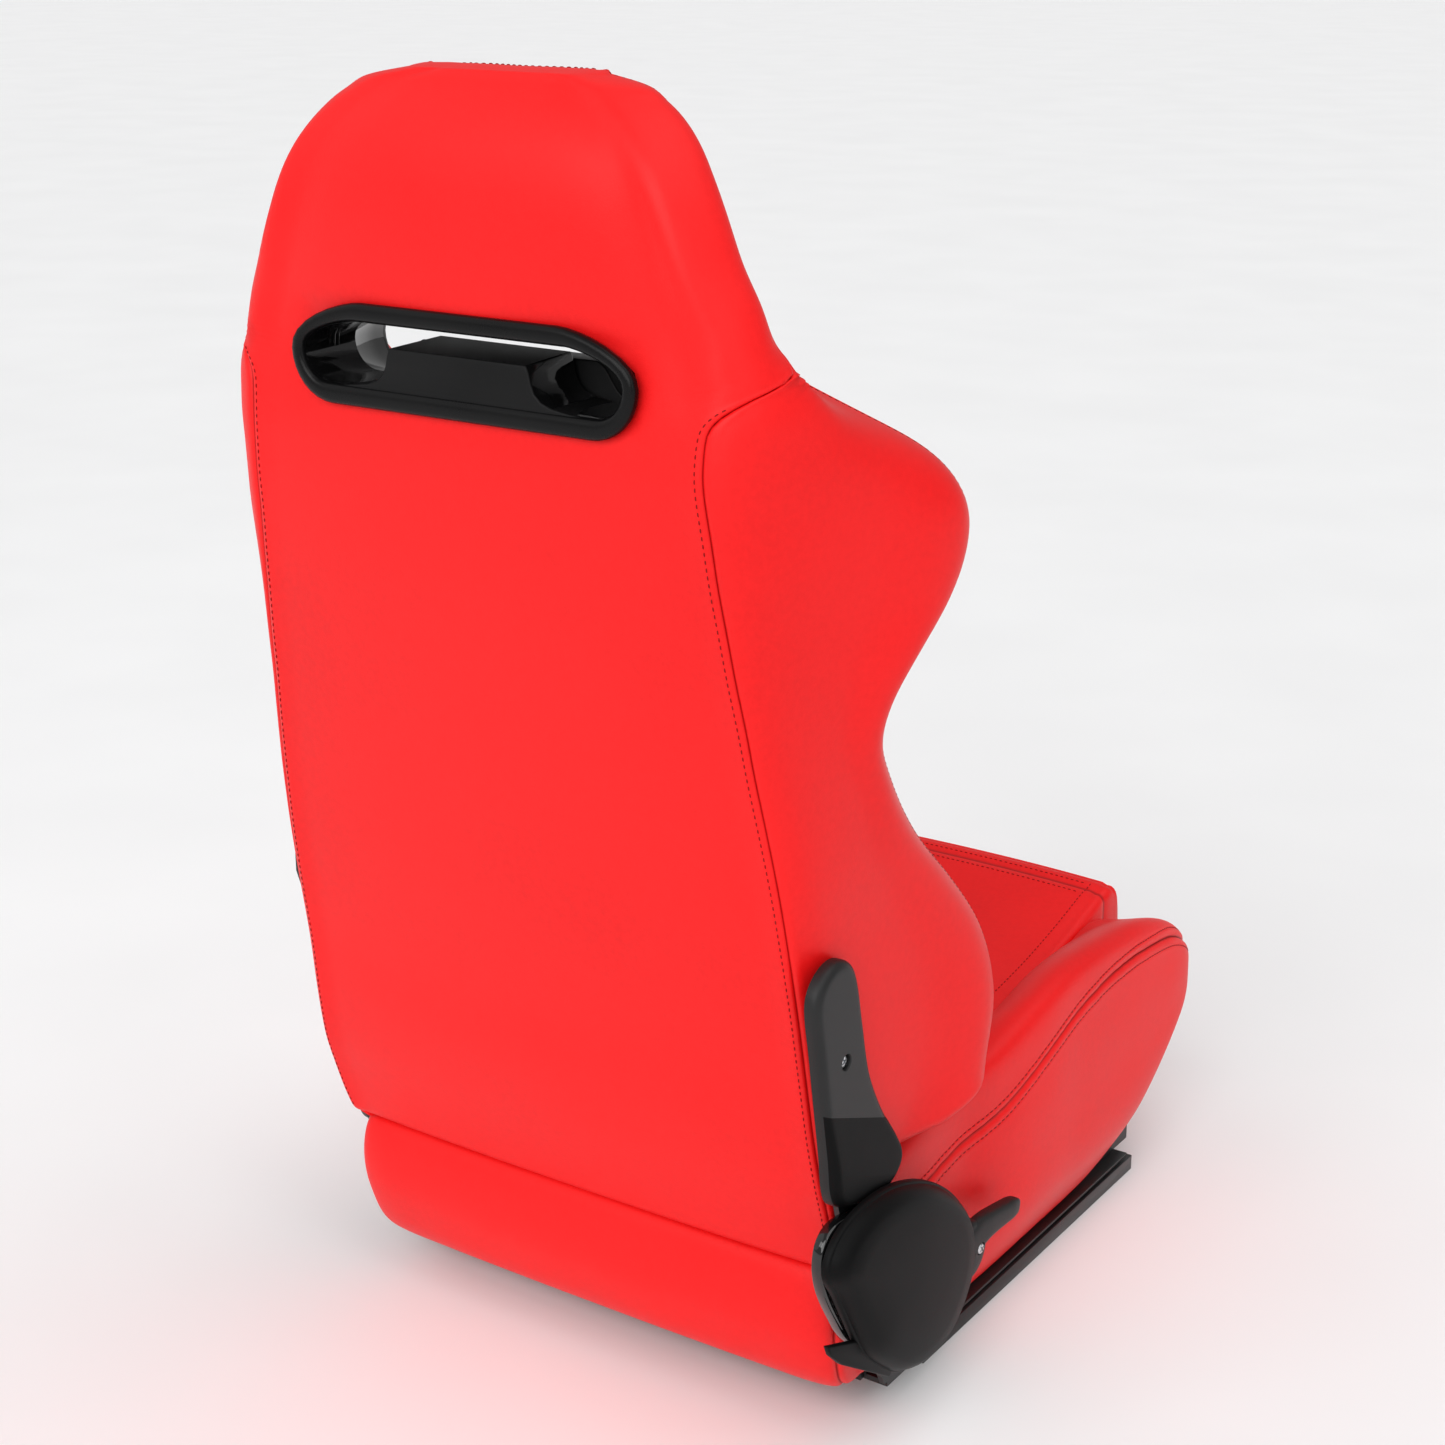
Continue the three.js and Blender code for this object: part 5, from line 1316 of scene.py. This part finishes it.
def build_arm_covers():
    def face(p, x):
        return np.zeros(len(p))
    rows = [("i", 3.2, 231.5), ("i", 2.6, 227.2), ("i", 1.0, 226.6), ("i", 0.1, 227.2), ("i", 0.0, 229), ("i", 0.0, 232.0), ("i", 0.5, 233.8), ("i", 1.6, 235.4), ("i", 3.0, 236.5), ("i", 4.2, 237.1), ("i", 5.0, 237.4), ("i", 7.4, 237.5)]
    for side, s in (("right", -1),):
        o = spline_closed(ARM_COVER, 150)
        rings = []
        for kind, a, x in rows:
            p = inset(o, a)
            rings.append([(s * X, f, z) for X, (f, z) in zip(x + face(p, x), p)])
        base = inset(o, 7.4)
        # fill the face with rings that shrink onto the middle line of the cover
        mid_z = np.clip(base[:, 1], 226, 372)
        mid_f = np.interp(mid_z, [226, 250, 300, 340, 372], [2, -8, -26, -34, -38])
        spine = np.column_stack([mid_f, mid_z])
        for t in (0.25, 0.5, 0.75, 0.93):
            p = base * (1 - t) + spine * t
            rings.append([(s * X, f, z) for X, (f, z) in zip(237.5 + face(p, 237.5), p)])
        k = len(rings[0])
        V = [p for r in rings for p in r]
        F = []
        for i in range(len(rings) - 1):
            for j in range(k):
                d = (j + 1) % k
                F.append((i * k + j, i * k + d, (i + 1) * k + d, (i + 1) * k + j))
        # close both ends as flat fans over the spine
        F.append(tuple((len(rings) - 1) * k + j for j in range(k)))
        F.append(tuple(j for j in range(k - 1, -1, -1)))
        ob = mesh_object(f"{side}_arm_cover_shell", world(V), F, COVER_PL)
        # ridge line across the lower third, and a second one above the lip
        bm = bmesh.new()
        bm.from_mesh(ob.data)
        lines = ((0.42, 268.0), (0.42, 226.0))
        for k42, lv in lines:
            no = Vector((0, -k42, 1)).normalized()
            co = Vector((0, FWD0 * 0.001, lv * 0.001))
            bmesh.ops.bisect_plane(bm, geom=bm.verts[:] + bm.edges[:] + bm.faces[:], plane_co=co, plane_no=no, dist=1e-6)
        for v in bm.verts:
            X, f, z = -v.co.x * 1000 * -s * -1, FWD0 - v.co.y * 1000, v.co.z * 1000
            h = z + 0.42 * f
            w = float(np.clip((abs(v.co.x) * 1000 - 233.5) / 4.0, 0, 1))
            if h < 268:
                d = (268 - max(h, 226)) * 0.085 - 1.6 * w
                v.co.x += s * 0.001 * w * (d + 1.6 * (1 if h > 226 else 1))
        bm.normal_update()
        bm.to_mesh(ob.data)
        bm.free()
        # screw pocket
        ang = np.linspace(0, 2 * math.pi, 33)[:-1]
        cv = [(s * x, SCREW[0] + r * math.cos(a), SCREW[1] + r * math.sin(a)) for x, r in ((231.2, 5.4), (236.8, 5.4), (239, 7.2)) for a in ang]
        cf = [(i * 32 + j, i * 32 + (j + 1) % 32, (i + 1) * 32 + (j + 1) % 32, (i + 1) * 32 + j) for i in range(2) for j in range(32)]
        cf += [tuple(range(31, -1, -1)), tuple(range(64, 96))]
        cutter = mesh_object("pocket", world(cv), cf, COVER_PL)
        cut(ob, cutter)
        auto_smooth(ob, 28)
        bm = bmesh.new()
        bm.from_mesh(ob.data)
        for e in bm.edges:
            hs = [v.co.z * 1000 + 0.42 * (FWD0 - v.co.y * 1000) for v in e.verts]
            if all(abs(h - 268) < 0.05 for h in hs) or all(abs(h - 226) < 0.05 for h in hs):
                e.smooth = False
        bm.to_mesh(ob.data)
        bm.free()
        # painted shade: faces below the ridge get the darker copy of the moulding, so the lower facet reads as turned
        # away from the light
        ob.data.materials.append(MOULD_PAINTED_SHADE)
        low = len(ob.data.materials) - 1
        for q in ob.data.polygons:
            h = q.center.z * 1000 + 0.42 * (FWD0 - q.center.y * 1000)
            if h < 268 and abs(q.center.x) > 0.2345:
                q.material_index = low
        finish_piece(ob, "backrest", "cover_plastic", f"{side}_arm_cover")


build_arm_covers()


def screw(name, s, x0, x1, f, z, r, body, node):
    """Pan-head screw with a cross recess."""
    prof = [(r * 0.98, x0), (r, x0 + 0.3), (r, x1 - r * 0.35), (r * 0.93, x1 - r * 0.16), (r * 0.76, x1 - r * 0.04), (r * 0.5, x1), (r * 0.2, x1 + 0.05)]
    ang = np.linspace(0, 2 * math.pi, 37)[:-1]
    V = [(s * x, f + q * math.cos(a), z + q * math.sin(a)) for q, x in prof for a in ang]
    F = [(i * 36 + j, i * 36 + (j + 1) % 36, (i + 1) * 36 + (j + 1) % 36, (i + 1) * 36 + j) for i in range(len(prof) - 1) for j in range(36)]
    F += [tuple(range(35, -1, -1)), tuple(range((len(prof) - 1) * 36, len(prof) * 36))]
    ob = mesh_object(name, world(V), F, ZINC)
    for rot in (0.5, 0.5 + math.pi / 2):
        hw, hl = r * 0.15, r * 0.62
        cs, sn = math.cos(rot), math.sin(rot)
        box = [(-hl, -hw), (hl, -hw), (hl, hw), (-hl, hw)]
        P = [(s * X, f + a * cs - b * sn, z + a * sn + b * cs) for X in (x1 - r * 0.42, x1 + 1.5) for a, b in box]
        c = mesh_object("cross", world(P), [(0, 3, 2, 1), (4, 5, 6, 7), (0, 1, 5, 4), (1, 2, 6, 5), (2, 3, 7, 6), (3, 0, 4, 7)], ZINC)
        cut(ob, c)
    auto_smooth(ob, 35)
    finish_piece(ob, body, "plated_steel", node)
    return ob


screw("right_arm_screw", -1, 230.6, 235.6, SCREW[0], SCREW[1], 4.6, "backrest", "right_arm_cover_screw")
screw("lever_screw", -1, 240.4, 245.0, 157, 96, 4.1, "recline_lever", "recline_lever_screw")


def build_lever():
    """Hub skirt and a rounded bar that swells towards its tip."""
    path = [(146, 101), (158, 107), (172, 107.6), (186, 106.4), (198, 105), (208, 103.8), (216, 102.8), (221, 102.3)]
    half = [15, 13.2, 10.6, 9.2, 8.4, 7.9, 6.8, 4.2]
    thick = [5.0, 6.2, 7.0, 7.0, 6.9, 6.6, 5.6, 3.4]
    T = np.array([(a, b, h, t) for (a, b), h, t in zip(path, half, thick)], float)
    k = np.linspace(0, len(path) - 1, 44)
    S = np.stack([np.interp(k, np.arange(len(path)), T[:, i]) for i in range(4)], 1)
    for _ in range(3):
        S[1:-1] = (S[:-2] + 2 * S[1:-1] + S[2:]) / 4
    rings = []
    for i, (f, z, h, t) in enumerate(S):
        a, b = S[max(0, i - 1)], S[min(len(S) - 1, i + 1)]
        d = np.array([b[0] - a[0], b[1] - a[1]])
        d /= np.linalg.norm(d)
        nf, nz = -d[1], d[0]
        ring = []
        for q in np.linspace(0, 2 * math.pi, 25)[:-1]:
            ca, sa = math.cos(q), math.sin(q)
            e = 0.62
            u = math.copysign(abs(ca) ** e, ca) * h
            v = math.copysign(abs(sa) ** e, sa) * t
            ring.append((-(239.2 + v), f + nf * u, z + nz * u))
        rings.append(ring)
    k = 24
    V = [p for r in rings for p in r]
    F = [(i * k + j, i * k + (j + 1) % k, (i + 1) * k + (j + 1) % k, (i + 1) * k + j) for i in range(len(rings) - 1) for j in range(k)]
    a, b = np.array(rings[0]).mean(0), np.array(rings[-1]).mean(0) + [0, 1.8, 0]
    V += [tuple(a), tuple(b)]
    F += [(len(V) - 2, (j + 1) % k, j) for j in range(k)] + [(len(V) - 1, (len(rings) - 1) * k + j, (len(rings) - 1) * k + (j + 1) % k) for j in range(k)]
    bar = mesh_object("lever_bar", world(V), F, GRIP)
    hub = dome("lever_hub", [[146 + 23 * math.cos(q), 98 + 23 * math.sin(q)] for q in np.linspace(0, 2 * math.pi, 25)[:-1]],
               [("s", 0.3, 234), ("s", 0.8, 233), ("s", 0.93, 232.2), ("s", 0.99, 232.2), ("s", 1.0, 233), ("s", 1.0, 239.4), ("s", 0.985, 241), ("s", 0.94, 242.4), ("s", 0.86, 243.2), ("s", 0.6, 243.6), ("s", 0.3, 243.8)], -1, GRIP, centre=(146, 98))
    m = bar.modifiers.new("u", "BOOLEAN")
    m.operation, m.solver, m.object = "UNION", "EXACT", hub
    apply_mods(bar)
    bpy.data.objects.remove(hub, do_unlink=True)
    ang = np.linspace(0, 2 * math.pi, 33)[:-1]
    cv = [(-x, 157 + r * math.cos(q), 96 + r * math.sin(q)) for x, r in ((240.2, 4.6), (248, 5.4)) for q in ang]
    cf = [(j, (j + 1) % 32, 32 + (j + 1) % 32, 32 + j) for j in range(32)] + [tuple(range(31, -1, -1)), tuple(range(32, 64))]
    cut(bar, mesh_object("pocket", world(cv), cf, GRIP))
    bar.name = "recline_lever_grip"
    auto_smooth(bar, 40)
    finish_piece(bar, "recline_lever", "lever_plastic", "recline_lever")


build_lever()

# ------------------------------------------------------- slide rails (bevelled)
def prism_rail(name, section, x_mid, s, f0, f1, body, node, width):
    k = len(section)
    V = [(s * x_mid + x, f, z) for f in (f0, f1) for x, z in section]
    F = [tuple(range(k)), tuple(range(2 * k - 1, k - 1, -1))] + [(i, k + i, k + (i + 1) % k, (i + 1) % k) for i in range(k)]
    ob = mesh_object(name, world(V), F, RAILM, smooth=False)
    bevel(ob, width, 2, 25)
    finish_piece(ob, body, "rail_steel", node)
    return ob


def build_rails():
    w, t, H = 15.0, 2.0, 13.0
    low = [(-w, 0), (w, 0), (w, H), (6, H), (6, H - 5), (6 + t, H - 5), (6 + t, H - t), (w - t, H - t), (w - t, t),
           (-w + t, t), (-w + t, H - t), (-6 - t, H - t), (-6 - t, H - 5), (-6, H - 5), (-6, H), (-w, H)]
    up = [(-11, 3), (11, 3), (11, 5), (2.5, 5), (2.5, 14.5), (13, 14.5), (13, 17.2), (-13, 17.2), (-13, 14.5), (-2.5, 14.5), (-2.5, 5), (-11, 5)]
    for side, s in (("right", -1), ("left", 1)):
        prism_rail(f"{side}_floor_rail", low, 197, s, 134, 492, "lower_rails", f"{side}_lower_rail", 0.5)
        prism_rail(f"{side}_slider_rail", up, 197, s, 140, 486, "seat_base", f"{side}_upper_rail", 0.4)


build_rails()

# --------------------------------------------- materials of the CAD nodes kept
slots = {}
for mrow in frame["record"].get("materials", []):
    slots[mrow.get("slot")] = mrow
KEEP = {
    "seat_frame": STEEL, "backrest_frame": STEEL, "slide_release_bar": STEEL, "right_base_bracket": STEEL, "left_base_bracket": STEEL,
    "right_backrest_arm": STEEL, "left_backrest_arm": STEEL, "recline_cam": STEEL, "recline_pawl": ZINC, "recline_pawl_pin": ZINC,
    "recliner_spiral_spring": SPRING, "recline_lever_shaft": ZINC,
}
for name, ob in NODES.items():
    if ob.hide_render:
        continue
    mat = KEEP.get(name)
    if mat is None:
        if "spring" in name:
            mat = SPRING
        elif "bolt" in name or "spacer" in name or "pin" in name or "screw" in name:
            mat = ZINC
        elif "rail" in name:
            mat = RAILM
        else:
            mat = STEEL
    ob.data.materials.clear()
    ob.data.materials.append(mat)

# ----------------------------------------------------- stage, lights, camera
def floor():
    bm = bmesh.new()
    bmesh.ops.create_grid(bm, x_segments=8, y_segments=8, size=40)
    me = bpy.data.meshes.new("floor")
    bm.to_mesh(me)
    bm.free()
    ob = bpy.data.objects.new("floor", me)
    bpy.context.scene.collection.objects.link(ob)
    m, nt, b = new_mat("floor_pale")
    co = add_node(nt, "ShaderNodeTexCoord").outputs["Object"]
    n = noise(nt, co, 3, 2)
    c = ramp(nt, n.outputs["Fac"], [(0.3, (0.90, 0.90, 0.905)), (0.7, (0.925, 0.925, 0.93))])
    nt.links.new(c.outputs["Color"], b.inputs["Base Color"])
    b.inputs["Roughness"].default_value = 0.75
    b.inputs["Specular IOR Level"].default_value = 0.2
    me.materials.append(m)
    ob.location.z = -0.0005


floor()


def area(name, loc, target, size, power, size_y=None, color=(1, 1, 1)):
    l = bpy.data.lights.new(name, "AREA")
    l.shape = "RECTANGLE"
    l.size, l.size_y = size, size_y or size
    l.energy = power
    l.color = color
    o = bpy.data.objects.new(name, l)
    bpy.context.scene.collection.objects.link(o)
    o.location = loc
    d = Vector(target) - Vector(loc)
    o.rotation_euler = d.to_track_quat("-Z", "Y").to_euler()
    return o


def sun(name, direction, strength, angle):
    l = bpy.data.lights.new(name, "SUN")
    l.energy = strength
    l.angle = math.radians(angle)
    o = bpy.data.objects.new(name, l)
    bpy.context.scene.collection.objects.link(o)
    o.rotation_euler = Vector(direction).to_track_quat("-Z", "Y").to_euler()


sun("key", (0.22, -0.80, -0.50), 1.62, 50)
sun("fill", (-0.75, -0.45, -0.55), 0.35, 60)
sun("overhead", (0.45, 0.1, -1.0), 1.0, 60)
area("softbox_right", (-2.2, 1.1, 1.5), (-0.1, 0.05, 0.35), 0.7, 5, 1.4)
area("softbox_rear", (0.7, 2.6, 1.9), (0, 0.05, 0.6), 1.1, 9)

w = bpy.data.worlds.new("studio")
bpy.context.scene.world = w
w.use_nodes = True
wn = w.node_tree
bg = wn.nodes["Background"]
bg.inputs["Color"].default_value = (1, 1, 1, 1)
bg.inputs["Strength"].default_value = 0.36
seen = wn.nodes.new("ShaderNodeBackground")
seen.inputs["Color"].default_value = (1, 1, 1, 1)
seen.inputs["Strength"].default_value = 0.98
lp = wn.nodes.new("ShaderNodeLightPath")
mx = wn.nodes.new("ShaderNodeMixShader")
wn.links.new(lp.outputs["Is Camera Ray"], mx.inputs["Fac"])
wn.links.new(bg.outputs["Background"], mx.inputs[1])
wn.links.new(seen.outputs["Background"], mx.inputs[2])
wn.links.new(mx.outputs["Shader"], wn.nodes["World Output"].inputs["Surface"])

cam = bpy.data.cameras.new("camera")
cam.lens = 36 * 2485.663 / 1445
cam.sensor_width = 36
cam.dof.use_dof = False
cob = bpy.data.objects.new("camera", cam)
bpy.context.scene.collection.objects.link(cob)
cob.location = (-0.979126, 1.504260, 1.032173)
cob.rotation_euler = Vector((0.5298, -0.7869, -0.3165)).to_track_quat("-Z", "Y").to_euler()
bpy.context.scene.camera = cob
bpy.context.scene.view_settings.view_transform = "Standard"
bpy.context.scene.view_settings.look = "None"
